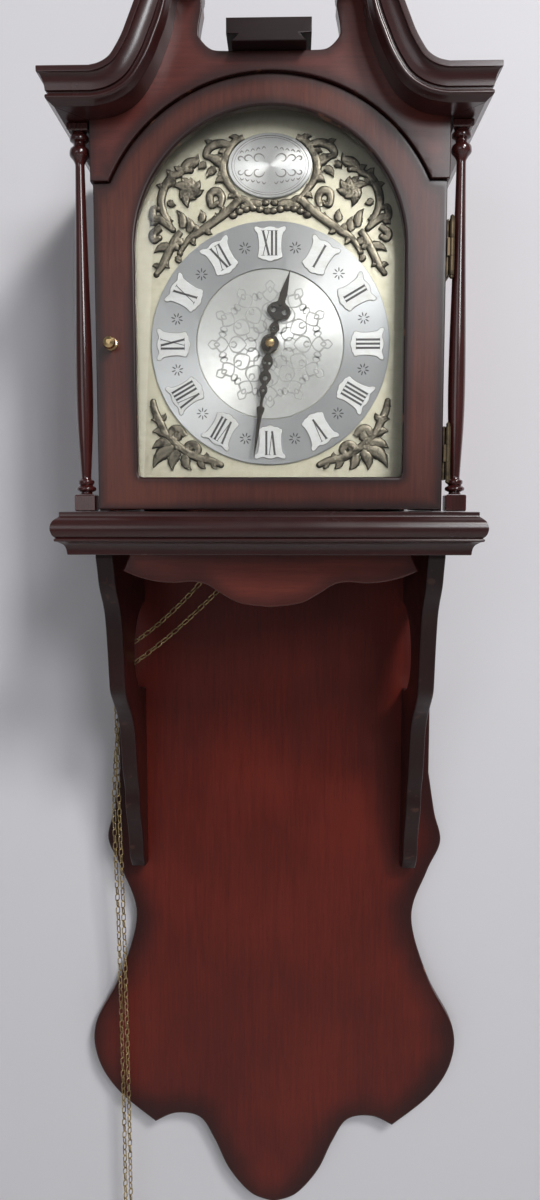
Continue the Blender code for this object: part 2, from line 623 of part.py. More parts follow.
def make_train():
    """Great wheel with chain sprocket, centre, third and escape wheels."""
    to_centre = direction(GREAT_ARBOR, CENTRE_ARBOR)
    to_third = direction(CENTRE_ARBOR, THIRD_ARBOR)
    to_escape = direction(THIRD_ARBOR, ESCAPE_ARBOR)
    base = (GREAT_ARBOR[0], 0, GREAT_ARBOR[1])
    great = arbor("great_wheel", GREAT_ARBOR, spindle(1.9, 2.6))
    wheel = gear(GREAT_ARBOR, gear_outline(GREAT_TEETH, GREAT_MODULE, to_centre, True), -75.0, -72.0)
    combine(great, wheel, base, "UNION")
    combine(great, spokes(GREAT_ARBOR, 9, 29, -75.0, -72.0), base, "DIFFERENCE")
    lip = SPROCKET_RADIUS + 2.6
    low = SPROCKET_RADIUS - 3.0
    drum = [(3.0, SPROCKET_Y - 6.5), (lip, SPROCKET_Y - 6.5), (lip, SPROCKET_Y - 5.0),
            (low, SPROCKET_Y - 2.8), (low, SPROCKET_Y + 2.8), (lip, SPROCKET_Y + 5.0),
            (lip, SPROCKET_Y + 6.5), (3.0, SPROCKET_Y + 6.5)]
    place("chain_sprocket", turned(drum, GREAT_ARBOR, 24, closed=True), "brass", base, smooth=True)

    base = (CENTRE_ARBOR[0], 0, CENTRE_ARBOR[1])
    square = [(1.2, HAND_SEAT), (1.2, FRONT_PLATE[0])]
    centre = arbor("centre_wheel", CENTRE_ARBOR, square + spindle(1.9, 2.4))
    pinion = gear_outline(PINION, GREAT_MODULE, to_centre + pi, False)
    combine(centre, gear(CENTRE_ARBOR, pinion, -78.0, -69.0), base, "UNION")
    wheel = gear_outline(CENTRE_TEETH, CENTRE_MODULE, to_third, True)
    combine(centre, gear(CENTRE_ARBOR, wheel, -100.0, -98.0), base, "UNION")
    combine(centre, spokes(CENTRE_ARBOR, 6, 20, -100.0, -98.0), base, "DIFFERENCE")

    base = (THIRD_ARBOR[0], 0, THIRD_ARBOR[1])
    third = arbor("third_wheel", THIRD_ARBOR, spindle(0.9, 1.5))
    pinion = gear_outline(PINION, CENTRE_MODULE, to_third + pi, False)
    combine(third, gear(THIRD_ARBOR, pinion, -103.0, -95.0), base, "UNION")
    wheel = gear_outline(THIRD_TEETH, THIRD_MODULE, to_escape, True)
    combine(third, gear(THIRD_ARBOR, wheel, -65.0, -63.0), base, "UNION")
    combine(third, spokes(THIRD_ARBOR, 5, 16, -65.0, -63.0), base, "DIFFERENCE")

    base = (ESCAPE_ARBOR[0], 0, ESCAPE_ARBOR[1])
    escape = arbor("escape_wheel", ESCAPE_ARBOR, spindle(0.9, 1.5))
    pinion = gear_outline(PINION, THIRD_MODULE, to_escape + pi, False)
    combine(escape, gear(ESCAPE_ARBOR, pinion, -68.0, -60.0), base, "UNION")
    saw = []
    for i in range(ESCAPE_TEETH):
        a = pi / 2 + 2 * pi * i / ESCAPE_TEETH
        saw.append((ESCAPE_RADIUS * cos(a), ESCAPE_RADIUS * sin(a)))
        saw.append((12.2 * cos(a + 0.05), 12.2 * sin(a + 0.05)))
        saw.append((12.2 * cos(a + 0.13), 12.2 * sin(a + 0.13)))
    combine(escape, gear(ESCAPE_ARBOR, saw, -108.5, -107.0), base, "UNION")


def make_escapement():
    """Anchor on its arbor, crutch behind the back plate and the cock that carries them."""
    base = (ANCHOR_ARBOR[0], 0, ANCHOR_ARBOR[1])
    z = ANCHOR_ARBOR[1]
    low = ARBOR_SHOULDERS[0]
    long_spindle = [(0.9, FRONT_PLATE[0]), (0.9, low), (1.6, low), (1.6, -41), (0.9, -41), (0.9, -36)]
    anchor = arbor("pallet_anchor", ANCHOR_ARBOR, long_spindle)
    half = [(0, z + 3.4), (3.2, z + 2.2), (12.2, z - 6.6), (13.4, z - 10.2), (11.6, z - 10.6), (9.6, z - 6.6),
            (2.4, z - 2.6), (0, z - 3.0)]
    combine(anchor, prism(mirrored(half), -109.5, -106.0), base, "UNION")
    strap = [(-2.2, z + 3.4), (2.2, z + 3.4), (2.6, z - 2.5), (1.2, z - 8), (1.2, z - 66), (3.6, z - 70),
             (3.6, z - 78), (1.8, z - 78), (1.8, z - 72), (-1.8, z - 72), (-1.8, z - 78), (-3.6, z - 78),
             (-3.6, z - 70), (-1.2, z - 66), (-1.2, z - 8), (-2.6, z - 2.5)]
    crutch = place("crutch", prism(strap, -47.5, -46.0), "steel", base)
    combine(crutch, turned([(1.8, -50), (1.8, -43)], ANCHOR_ARBOR, 12), base, "DIFFERENCE")
    foot = BACK_PLATE[1] + GAP
    yoke = [(-22, foot), (-13, foot), (-13, -38.6), (13, -38.6), (13, foot), (22, foot), (22, -35.4),
            (-22, -35.4)]
    shape = loft([[(x, y, level) for x, y in yoke] for level in (z - 6, z + 6)])
    cock = place("back_cock", shape, "brass")
    combine(cock, turned([(1.2, -41), (1.2, -33)], ANCHOR_ARBOR, 12), (0, 0, 0), "DIFFERENCE")


def make_motion_work():
    """Cannon pinion, minute wheel and hour wheel behind the dial."""
    to_stud = direction(CENTRE_ARBOR, MINUTE_STUD)
    base = (CENTRE_ARBOR[0], 0, CENTRE_ARBOR[1])
    coarse = MOTION_DISTANCE * 2 / (CANNON_TEETH + MINUTE_TEETH)
    fine = MOTION_DISTANCE * 2 / (MINUTE_PINION + HOUR_TEETH)
    cannon = place("cannon_pinion", turned([(2.2, -150.5), (2.2, -126.5)], CENTRE_ARBOR, 16), "steel", base)
    combine(cannon, gear(CENTRE_ARBOR, gear_outline(CANNON_TEETH, coarse, to_stud, True), -131.4, -127.6),
            base, "UNION")
    combine(cannon, turned([(1.4, -155), (1.4, -120)], CENTRE_ARBOR, 12), base, "DIFFERENCE")
    hour = place("hour_wheel", turned([(3.6, -147.6), (3.6, -133.4)], CENTRE_ARBOR, 16), "brass", base)
    combine(hour, gear(CENTRE_ARBOR, gear_outline(HOUR_TEETH, fine, to_stud, False), -136.4, -134.4), base,
            "UNION")
    combine(hour, turned([(2.6, -152), (2.6, -125)], CENTRE_ARBOR, 16), base, "DIFFERENCE")
    stud = (MINUTE_STUD[0], 0, MINUTE_STUD[1])
    pinion = gear_outline(MINUTE_PINION, fine, to_stud + pi, True)
    minute = place("minute_wheel", gear(MINUTE_STUD, pinion, -137.0, -126.0), "brass", stud)
    wheel = gear_outline(MINUTE_TEETH, coarse, to_stud + pi, False)
    combine(minute, gear(MINUTE_STUD, wheel, -130.6, -128.4), stud, "UNION")
    combine(minute, turned([(1.7, -140), (1.7, -120)], MINUTE_STUD, 12), stud, "DIFFERENCE")
    post = [(2.6, FRONT_PLATE[0] - GAP), (2.6, -125.6), (1.5, -125.6), (1.5, -138.4)]
    place("minute_stud", turned(post, MINUTE_STUD, 12), "steel", stud)


def make_seat():
    """Seat board that carries the movement over the opening in the shelf."""
    board = place("seat_board", box((-64, -136, GAP), (64, -30, 10.3)), "mahogany")
    combine(board, box((-50, -105, -20), (50, -62, 40)), (0, 0, 0), "DIFFERENCE")


# ---------------------------------------------------------------- chain
# Both runs leave the sprocket, pass the shelf, go out through the left bracket's opening and hang.
LEFT_RUN = [(-40.0, -85.0, 88.0), (-40.0, -85.0, 40.0), (-40.2, -85.0, -8.0), (-44.5, -83.0, -38.0),
            (-64.0, -77.0, -64.0), (-95.0, -67.5, -94.0), (-120.0, -60.5, -113.5), (-131.5, -57.0, -123.0),
            (-136.3, -55.0, -140.0), (-137.2, -52.0, -180.0), (-137.4, -46.0, -260.0),
            (-136.6, -36.0, -400.0), (-136.6, -28.0, -560.0), (-136.8, -25.0, -718.0)]
RIGHT_RUN = [(-12.0, -85.0, 88.0), (-12.0, -85.0, 40.0), (-12.4, -84.8, -8.0), (-18.5, -82.5, -38.0),
             (-44.0, -76.0, -65.0), (-82.0, -66.5, -101.0), (-116.0, -58.0, -128.5), (-128.0, -53.0, -135.5),
             (-134.0, -49.5, -146.0), (-136.0, -46.5, -180.0), (-143.0, -40.0, -260.0),
             (-142.8, -29.5, -400.0), (-142.6, -22.5, -560.0), (-142.8, -20.5, -700.0)]


def make_chain():
    """The chain's two runs as plain bars, with an end ring and a weight hook."""
    for name, route in (("chain_run_left", LEFT_RUN), ("chain_run_right", RIGHT_RUN)):
        curve = bar(smooth_curve(route, 5), CHAIN_WIDTH / 2)
        run = bpy.data.objects.new(name, curve)
        run.data.materials.append(material("old_brass"))
        bpy.context.collection.objects.link(run)
    end = LEFT_RUN[-1]
    ring = []
    for i in range(24):
        a = 2 * pi * i / 24
        section = []
        for k in range(6):
            reach = END_RING + END_WIRE * cos(pi * k / 3)
            rise = reach * sin(a) - END_RING - END_WIRE - GAP
            section.append((end[0] + reach * cos(a), end[1] + END_WIRE * sin(pi * k / 3), end[2] + rise))
        ring.append(section)
    place("chain_end_ring", loft(ring, closed=True), "old_brass", smooth=True)
    x, y, z = RIGHT_RUN[-1]
    bend = [(x, y, z - 0.4), (x, y, z - 8), (x + 0.2, y, z - 14)]
    bend += [(x - 5 + 5 * cos(radians(a)), y, z - 19 + 5 * sin(radians(a))) for a in range(20, -201, -22)]
    hook = bpy.data.objects.new("weight_hook", bar(bend, 1.1))
    hook.data.materials.append(material("old_brass"))
    bpy.context.collection.objects.link(hook)


make_backboard()
make_hanger()
make_shelf()
make_apron()
make_bracket("left", -1)
make_bracket("right", 1)
make_hood_shell()
make_pediment_board()
make_cornice()
make_plinth()
make_column("left", -1)
make_column("right", 1)
make_door()
make_dial()
make_hands()
make_plates()
make_train()
make_escapement()
make_motion_work()
make_seat()
make_chain()
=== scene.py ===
"""Looks of a hooded wall clock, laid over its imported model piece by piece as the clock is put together."""
from math import asin, cos, degrees, pi, radians, sin

import bmesh
import bpy
import numpy as np
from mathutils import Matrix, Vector
from mathutils.geometry import delaunay_2d_cdt


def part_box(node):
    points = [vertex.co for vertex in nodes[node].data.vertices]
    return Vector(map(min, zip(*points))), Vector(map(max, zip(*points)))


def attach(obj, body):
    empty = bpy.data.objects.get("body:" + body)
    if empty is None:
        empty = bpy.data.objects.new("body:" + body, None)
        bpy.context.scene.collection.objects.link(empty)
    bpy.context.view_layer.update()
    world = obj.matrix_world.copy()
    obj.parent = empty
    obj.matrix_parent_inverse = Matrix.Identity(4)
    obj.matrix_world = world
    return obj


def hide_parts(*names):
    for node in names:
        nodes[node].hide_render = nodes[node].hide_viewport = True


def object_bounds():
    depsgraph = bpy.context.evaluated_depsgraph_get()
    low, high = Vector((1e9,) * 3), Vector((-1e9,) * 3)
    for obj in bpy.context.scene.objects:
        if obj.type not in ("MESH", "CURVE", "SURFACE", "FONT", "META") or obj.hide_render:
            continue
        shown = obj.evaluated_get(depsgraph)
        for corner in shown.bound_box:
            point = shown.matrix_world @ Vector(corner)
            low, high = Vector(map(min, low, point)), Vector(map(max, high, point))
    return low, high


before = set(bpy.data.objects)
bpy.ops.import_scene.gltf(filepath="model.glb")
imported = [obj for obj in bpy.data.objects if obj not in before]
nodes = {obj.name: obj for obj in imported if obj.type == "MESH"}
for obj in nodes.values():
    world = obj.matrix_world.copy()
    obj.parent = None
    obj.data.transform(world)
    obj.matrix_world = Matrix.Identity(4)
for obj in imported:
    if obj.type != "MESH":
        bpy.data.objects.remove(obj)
model_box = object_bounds()

# ---------------------------------------------------------------- the room
# The clock hangs on a plain pale wall over a plain pale floor, both seen from the room's side only.
# A soft lamp stands to the front right and above, with a weaker window and weak fills beside and behind.
WALL_GREY = (0.78, 0.77, 0.80)
camera = bpy.data.objects.new("camera", bpy.data.cameras.new("camera"))
bpy.context.scene.collection.objects.link(camera)
bpy.context.scene.camera = camera
camera.location = (0.0163, -0.825, -0.2246)
camera.rotation_euler = (radians(90 - 5.9), 0.0, radians(1.38))
camera.data.sensor_width = 36.0
camera.data.lens = 27.03
camera.data.dof.use_dof = False


def one_sided(name, colour):
    """A matt surface that is only there from its front."""
    made = bpy.data.materials.new(name)
    made.use_nodes = True
    tree = made.node_tree
    shader = tree.nodes["Principled BSDF"]
    shader.inputs["Base Color"].default_value = (*colour, 1.0)
    shader.inputs["Roughness"].default_value = 0.85
    side = tree.nodes.new("ShaderNodeNewGeometry")
    clear = tree.nodes.new("ShaderNodeBsdfTransparent")
    mix = tree.nodes.new("ShaderNodeMixShader")
    tree.links.new(side.outputs["Backfacing"], mix.inputs["Fac"])
    tree.links.new(shader.outputs["BSDF"], mix.inputs[1])
    tree.links.new(clear.outputs["BSDF"], mix.inputs[2])
    tree.links.new(mix.outputs["Shader"], tree.nodes["Material Output"].inputs["Surface"])
    return made


def sheet_of(name, corners, colour):
    """A flat backdrop through four corners, facing the side from which they run anticlockwise."""
    mesh = bpy.data.meshes.new(name)
    mesh.from_pydata(corners, [], [(0, 1, 2, 3)])
    made = bpy.data.objects.new(name, mesh)
    made.data.materials.append(one_sided(name, colour))
    made.visible_shadow = False
    bpy.context.scene.collection.objects.link(made)


WALL_Y = model_box[1].y + 0.004
FLOOR_Z = model_box[0].z - 0.45
sheet_of("wall", [(-4, WALL_Y, FLOOR_Z), (4, WALL_Y, FLOOR_Z), (4, WALL_Y, 3), (-4, WALL_Y, 3)], WALL_GREY)
sheet_of("floor", [(-4, -4, FLOOR_Z), (4, -4, FLOOR_Z), (4, 4, FLOOR_Z), (-4, 4, FLOOR_Z)],
         (0.62, 0.61, 0.60))


def lamp(name, place, aim, size, power, colour):
    """A square soft lamp turned towards a point."""
    made = bpy.data.objects.new(name, bpy.data.lights.new(name, "AREA"))
    made.data.size = size
    made.data.energy = power
    made.data.color = colour
    made.location = place
    made.rotation_euler = (Vector(aim) - Vector(place)).to_track_quat("-Z", "Y").to_euler()
    bpy.context.scene.collection.objects.link(made)


lamp("key", (0.98, -1.75, 1.3), (0, -0.1, -0.2), 0.5, 34, (1.0, 0.985, 0.97))
lamp("window", (0.72, -2.0, 0.6), (0.1, -0.15, 0.0), 0.5, 11, (0.95, 0.97, 1.0))
lamp("fill_left", (-0.9, -2.2, 0.2), (0, -0.1, -0.3), 1.0, 4, (0.93, 0.96, 1.0))
lamp("fill_back", (0.5, 2.2, 0.3), (0, 0, -0.3), 1.4, 14, (1.0, 1.0, 1.0))
world = bpy.data.worlds.new("room")
world.use_nodes = True
world.node_tree.nodes["Background"].inputs["Color"].default_value = (0.86, 0.88, 0.93, 1.0)
world.node_tree.nodes["Background"].inputs["Strength"].default_value = 0.16
bpy.context.scene.world = world
bpy.context.scene.view_settings.view_transform = "Standard"

# ---------------------------------------------------------------- drive chain
# The weight chain is bent brass wire, 48 open links to the foot. It has been drawn out sideways through the
# left bracket's opening, so both runs hang there, one ending in a ring and one in the weight's hook.
MM = 0.001
SHELF_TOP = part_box("backboard")[1].z - 0.294
WIRE = 0.62                     # wire radius
LINK_PITCH = 6.35
LINK_WIDTH = 4.8


def at(x, y, z):
    """A place given in mm about the middle of the shelf's top, back at y = 0, as a point of the model."""
    return Vector((x * MM, y * MM, z * MM + SHELF_TOP))


def piece(name, verts, faces, smooth=35):
    """Build a named mesh piece from points in mm; edges sharper than the angle stay sharp."""
    mesh = bpy.data.meshes.new(name)
    mesh.from_pydata([at(*v) for v in verts], [], faces)
    shape = bmesh.new()
    shape.from_mesh(mesh)
    bmesh.ops.recalc_face_normals(shape, faces=shape.faces)
    shape.to_mesh(mesh)
    shape.free()
    mesh.shade_smooth()
    mesh.set_sharp_from_angle(angle=radians(smooth))
    made = bpy.data.objects.new(name, mesh)
    bpy.context.scene.collection.objects.link(made)
    return made


def fit(made, material, body, replaced=None):
    """Give a piece its finish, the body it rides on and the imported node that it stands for."""
    made.data.materials.append(material)
    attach(made, body)
    if replaced:
        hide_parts(replaced)
    return made


def skin(verts, faces, rings, closed=False, around=True, caps=True):
    """Add a skin over equal rings of points to lists of points and faces."""
    start = len(verts)
    count = len(rings[0])
    for ring in rings:
        verts.extend(tuple(p) for p in ring)
    spans = len(rings) if closed else len(rings) - 1
    for k in range(spans):
        low = start + k * count
        high = start + (k + 1) % len(rings) * count
        for i in range(count if around else count - 1):
            j = (i + 1) % count
            faces.append((low + i, low + j, high + j, high + i))
    if caps and not closed:
        faces.append(tuple(range(start, start + count)))
        faces.append(tuple(range(start + (len(rings) - 1) * count, start + len(rings) * count)))


def smooth_curve(points, steps):
    """A smooth curve through points of any dimension (Catmull-Rom)."""
    ends = [points[0]] + list(points) + [points[-1]]
    curve = []
    for a, b, c, d in zip(ends, ends[1:], ends[2:], ends[3:]):
        for i in range(steps):
            t = i / steps
            curve.append(tuple(
                0.5 * (2 * q + (r - p) * t + (2 * p - 5 * q + 4 * r - s) * t * t
                       + (3 * q - p - 3 * r + s) * t ** 3)
                for p, q, r, s in zip(a, b, c, d)))
    curve.append(tuple(points[-1]))
    return curve


def tube_rings(route, radius, sides, flat=1.0, closed=False):
    """Rings of a tube along a route of points, all of it or tapering by a function of the share along."""
    rings = []
    side = Vector((0, 1, 0))
    count = len(route)
    for i, point in enumerate(route):
        before = route[(i - 1) % count] if closed else route[max(i - 1, 0)]
        after = route[(i + 1) % count] if closed else route[min(i + 1, count - 1)]
        along = (Vector(after) - Vector(before)).normalized()
        across = along.cross(side)
        if across.length < 0.01:
            across = along.cross(Vector((1, 0, 0)))
        across.normalize()
        up = across.cross(along).normalized()
        r = radius(i / (count - 1)) if callable(radius) else radius
        turns = [2 * pi * k / sides for k in range(sides)]
        rings.append([Vector(point) + across * r * cos(a) + up * r * flat * sin(a) for a in turns])
    return rings


LEFT_RUN = [(-40.0, -85.0, 88.0), (-40.0, -85.0, 40.0), (-40.2, -85.0, -8.0), (-44.5, -83.0, -38.0),
            (-64.0, -77.0, -64.0), (-95.0, -67.5, -94.0), (-120.0, -60.5, -113.5), (-131.5, -57.0, -123.0),
            (-136.3, -55.0, -140.0), (-137.2, -52.0, -180.0), (-137.4, -46.0, -260.0),
            (-136.6, -36.0, -400.0), (-136.6, -28.0, -560.0), (-136.8, -25.0, -718.0)]
RIGHT_RUN = [(-12.0, -85.0, 88.0), (-12.0, -85.0, 40.0), (-12.4, -84.8, -8.0), (-18.5, -82.5, -38.0),
             (-44.0, -76.0, -65.0), (-82.0, -66.5, -101.0), (-116.0, -58.0, -128.5), (-128.0, -53.0, -135.5),
             (-134.0, -49.5, -146.0), (-136.0, -46.5, -180.0), (-143.0, -40.0, -260.0),
             (-142.8, -29.5, -400.0), (-142.6, -22.5, -560.0), (-142.8, -20.5, -700.0)]


def links_along(verts, faces, route):
    """Lay links a pitch apart along a route, each a quarter turn from its neighbour; gives the length."""
    marks = [0.0]
    for a, b in zip(route, route[1:]):
        marks.append(marks[-1] + (Vector(b) - Vector(a)).length)
    straight = (LINK_PITCH + 2 * WIRE - LINK_WIDTH) / 2
    bend = LINK_WIDTH / 2 - WIRE
    oval = []
    for k in range(16):
        a = 2 * pi * (k + 0.5) / 16
        oval.append((bend * cos(a), bend * sin(a) + (straight if sin(a) > 0 else -straight)))
    count = int(marks[-1] / LINK_PITCH)
    at_segment = 0
    for n in range(count):
        middle = (n + 0.5) * marks[-1] / count
        while marks[at_segment + 1] < middle:
            at_segment += 1
        a, b = Vector(route[at_segment]), Vector(route[at_segment + 1])
        centre = a.lerp(b, (middle - marks[at_segment]) / (marks[at_segment + 1] - marks[at_segment]))
        along = (b - a).normalized()
        across = along.cross(Vector((0, 1, 0))).normalized()
        facing = across.cross(along)
        turn = radians(45 + 90 * (n % 2) + 11 * sin(0.7 * n))
        wide = across * cos(turn) + facing * sin(turn)
        loop = [centre + wide * u + along * v for u, v in oval]
        normal = wide.cross(along)
        rings = []
        for i, point in enumerate(loop):
            out = (point - centre).normalized()
            rings.append([point + (out * cos(t) + normal * sin(t)) * WIRE
                          for t in (0, pi / 3, 2 * pi / 3, pi, 4 * pi / 3, 5 * pi / 3)])
        skin(verts, faces, rings, closed=True)
    return marks[-1] * MM


def node(tree, kind, settings, feeds):
    """Add a shader node; each input named or numbered in feeds gets a value or the socket that feeds it."""
    made = tree.nodes.new("ShaderNode" + kind)
    for key, value in settings.items():
        setattr(made, key, value)
    for key, value in feeds.items():
        if isinstance(value, bpy.types.NodeSocket):
            tree.links.new(value, made.inputs[key])
        else:
            made.inputs[key].default_value = value
    return made


def effect(name, inputs, outputs=(("Colour", "Color"), ("Roughness", "Float"), ("Height", "Float"))):
    """Start a node group; gives its tree, its inputs and its outputs by name."""
    tree = bpy.data.node_groups.new(name, "ShaderNodeTree")
    for label, kind, value in inputs:
        socket = tree.interface.new_socket(name=label, in_out="INPUT", socket_type="NodeSocket" + kind)
        if value is not None:
            socket.default_value = value
    for label, kind in outputs:
        tree.interface.new_socket(name=label, in_out="OUTPUT", socket_type="NodeSocket" + kind)
    return tree, tree.nodes.new("NodeGroupInput").outputs, tree.nodes.new("NodeGroupOutput").inputs


def math(tree, operation, a, b=0.0):
    return node(tree, "Math", {"operation": operation, "use_clamp": False}, {0: a, 1: b}).outputs[0]


def spread(tree, value, low, high, to_low=0.0, to_high=1.0):
    """A smooth step of a value from one range to another."""
    made = node(tree, "MapRange", {"interpolation_type": "SMOOTHSTEP"},
                {"Value": value, "From Min": low, "From Max": high, "To Min": to_low, "To Max": to_high})
    return made.outputs[0]


def blend_colours(tree, kind, share, a, b):
    made = tree.nodes.new("ShaderNodeMix")
    made.data_type = "RGBA"
    made.blend_type = kind
    for socket, value in ((made.inputs[0], share), (made.inputs[6], a), (made.inputs[7], b)):
        if isinstance(value, bpy.types.NodeSocket):
            tree.links.new(value, socket)
        else:
            socket.default_value = value
    return made.outputs[2]


def build_metal_effect():
    """Metal with drawn or brushed streaks, tarnish in patches and in the depths, and bright rubbed places."""
    tree, given, out = effect("worked metal", [
        ("Vector", "Vector", None), ("Bright", "Color", (0.8, 0.6, 0.3, 1)),
        ("Tarnish", "Color", (0.2, 0.15, 0.1, 1)), ("Amount", "Float", 0.4), ("Streaks", "Float", 0.3),
        ("Depth", "Float", 1.0), ("Gloss", "Float", 0.3)])
    streak = node(tree, "TexNoise", {}, {"Vector": given["Vector"], "Scale": 1.0, "Detail": 3.0}).outputs[0]
    cloud_at = node(tree, "TexCoord", {}, {}).outputs["Object"]
    cloud = node(tree, "TexNoise", {}, {"Vector": cloud_at, "Scale": 160.0, "Detail": 5.0}).outputs[0]
    patch = math(tree, "MULTIPLY", spread(tree, cloud, 0.42, 0.68), given["Amount"])
    low = math(tree, "SUBTRACT", 1.0, given["Depth"])
    dull = math(tree, "MAXIMUM", patch, low)
    colour = blend_colours(tree, "MIX", dull, given["Bright"], given["Tarnish"])
    tone = math(tree, "MULTIPLY", math(tree, "SUBTRACT", streak, 0.5), given["Streaks"])
    tone = math(tree, "ADD", tone, 1.0)
    shade = node(tree, "CombineXYZ", {}, {0: tone, 1: tone, 2: tone}).outputs[0]
    tree.links.new(blend_colours(tree, "MULTIPLY", 1.0, colour, shade), out["Colour"])
    rough = math(tree, "ADD", given["Gloss"], math(tree, "MULTIPLY", dull, 0.22))
    tree.links.new(math(tree, "ADD", rough, math(tree, "MULTIPLY", tone, 0.04)), out["Roughness"])
    tree.links.new(streak, out["Height"])
    return tree


def finish(name, group, values, grain, shader, bump=0.1, depth=None, rim=False, about=None):
    """A material that takes colour, roughness and bump from a group; grain stretches the coordinates.

    depth gives the y range, in mm, from the bottom of a relief to its crest; about is an arbor's centre
    (x, z) for grain that runs round it; rim passes the distance to the piece's edge.
    """
    made = bpy.data.materials.new(name)
    made.use_nodes = True
    tree = made.node_tree
    principled = tree.nodes["Principled BSDF"]
    for key, value in shader.items():
        principled.inputs[key].default_value = value
    where = node(tree, "TexCoord", {}, {}).outputs["Object"]
    if about:
        centre = at(about[0], 0, about[1])
        flat = node(tree, "VectorMath", {"operation": "SUBTRACT"}, {0: where, 1: centre}).outputs[0]
        flat = node(tree, "VectorMath", {"operation": "MULTIPLY"}, {0: flat, 1: (1, 0, 1)}).outputs[0]
        reach = node(tree, "VectorMath", {"operation": "LENGTH"}, {0: flat}).outputs["Value"]
        where = node(tree, "CombineXYZ", {}, {0: reach, 1: 0.0, 2: 0.0}).outputs[0]
    stretched = node(tree, "Mapping", {}, {"Vector": where, "Scale": grain}).outputs[0]
    look = node(tree, "Group", {"node_tree": group}, {"Vector": stretched, **values})
    if depth:
        bottom, crest = at(0, depth[0], 0).y, at(0, depth[1], 0).y
        y = node(tree, "SeparateXYZ", {}, {0: node(tree, "TexCoord", {}, {}).outputs["Object"]}).outputs[1]
        rise = node(tree, "MapRange", {}, {"Value": y, "From Min": bottom, "From Max": crest}).outputs[0]
        tree.links.new(rise, look.inputs["Depth"])
    if rim:
        edge = node(tree, "Attribute", {"attribute_name": "rim"}, {}).outputs["Fac"]
        tree.links.new(edge, look.inputs["Rim"])
    tree.links.new(look.outputs["Colour"], principled.inputs["Base Color"])
    tree.links.new(look.outputs["Roughness"], principled.inputs["Roughness"])
    relief = node(tree, "Bump", {}, {"Strength": bump, "Distance": 0.0004, "Height": look.outputs["Height"]})
    tree.links.new(relief.outputs[0], principled.inputs["Normal"])
    return made


METAL = build_metal_effect()


def metal(name, bright, tarnish, amount, gloss, grain, metallic=1.0, streaks=0.3, bump=0.1, shader=None,
          depth=None, about=None):
    """A metal's finish: its bright and tarnished colours, how much is tarnished, and how rough it is."""
    values = {"Bright": (*bright, 1), "Tarnish": (*tarnish, 1), "Amount": amount, "Streaks": streaks,
              "Gloss": gloss}
    return finish(name, METAL, values, grain, {"Metallic": metallic, **(shader or {})}, bump, depth,
                  about=about)


OLD_BRASS = metal("old brass", (0.52, 0.40, 0.20), (0.13, 0.09, 0.045), 0.75, 0.27, (900, 900, 900),
                  streaks=0.4, bump=0.2)
END_RING, END_WIRE = 9.0, 1.3
left_verts, left_faces = [], []
left_path = smooth_curve(LEFT_RUN, 8)
left_length = links_along(left_verts, left_faces, left_path)
chain_left = piece("chain_left", left_verts, left_faces, 180)
fit(chain_left, OLD_BRASS, "case", "chain_run_left")
right_verts, right_faces = [], []
right_path = smooth_curve(RIGHT_RUN, 8)
right_length = links_along(right_verts, right_faces, right_path)
chain_right = piece("chain_right", right_verts, right_faces, 180)
fit(chain_right, OLD_BRASS, "case", "chain_run_right")

over_verts, over_faces = [], []
over = [(-26.0 - 14.0 * cos(radians(a)), -85.0, 92.2 + 14.0 * sin(radians(a))) for a in range(-8, 189, 7)]
links_along(over_verts, over_faces, over)
chain_over = piece("chain_over_sprocket", over_verts, over_faces, 180)
fit(chain_over, OLD_BRASS, "case")

ring_verts, ring_faces = [], []
x, y, z = LEFT_RUN[-1]
loop = [(x + END_RING * cos(a), y, z - END_RING - END_WIRE - 0.3 + END_RING * sin(a))
        for a in [2 * pi * k / 40 for k in range(40)]]
skin(ring_verts, ring_faces, tube_rings(loop, END_WIRE * 0.97, 12, closed=True), closed=True)
end_ring = piece("end_ring", ring_verts, ring_faces, 180)
fit(end_ring, OLD_BRASS, "case", "chain_end_ring")
hook_verts, hook_faces = [], []
x, y, z = RIGHT_RUN[-1]
bend = [(x, y, z - 0.5), (x, y, z - 8), (x + 0.2, y, z - 14)]
bend += [(x - 5 + 5 * cos(radians(a)), y, z - 19 + 5 * sin(radians(a))) for a in range(20, -201, -22)]
HOOK_WIRE = 1.08
hook_rings = tube_rings(smooth_curve(bend, 4), lambda t: HOOK_WIRE * min(1, 0.55 + 6 * (1 - t)), 12)
skin(hook_verts, hook_faces, hook_rings)
hook = piece("hook_for_weight", hook_verts, hook_faces, 60)
fit(hook, OLD_BRASS, "case", "weight_hook")

# ---------------------------------------------------------------- backboard
# One shaped mahogany-veneered board, its edges rounded over and shaded dark with toner before polishing.
# The hood hides its upper part; the lobed and pointed lower part is open. A keyhole plate is let into it.
BOARD_BACK, BOARD_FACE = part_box("backboard")[1].y / MM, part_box("backboard")[0].y / MM
RED = (0.142, 0.0145, 0.0072)
DEEP_RED = (0.088, 0.0085, 0.0048)
DARK = (0.026, 0.0055, 0.0055)
NEAR_BLACK = (0.012, 0.0035, 0.0038)


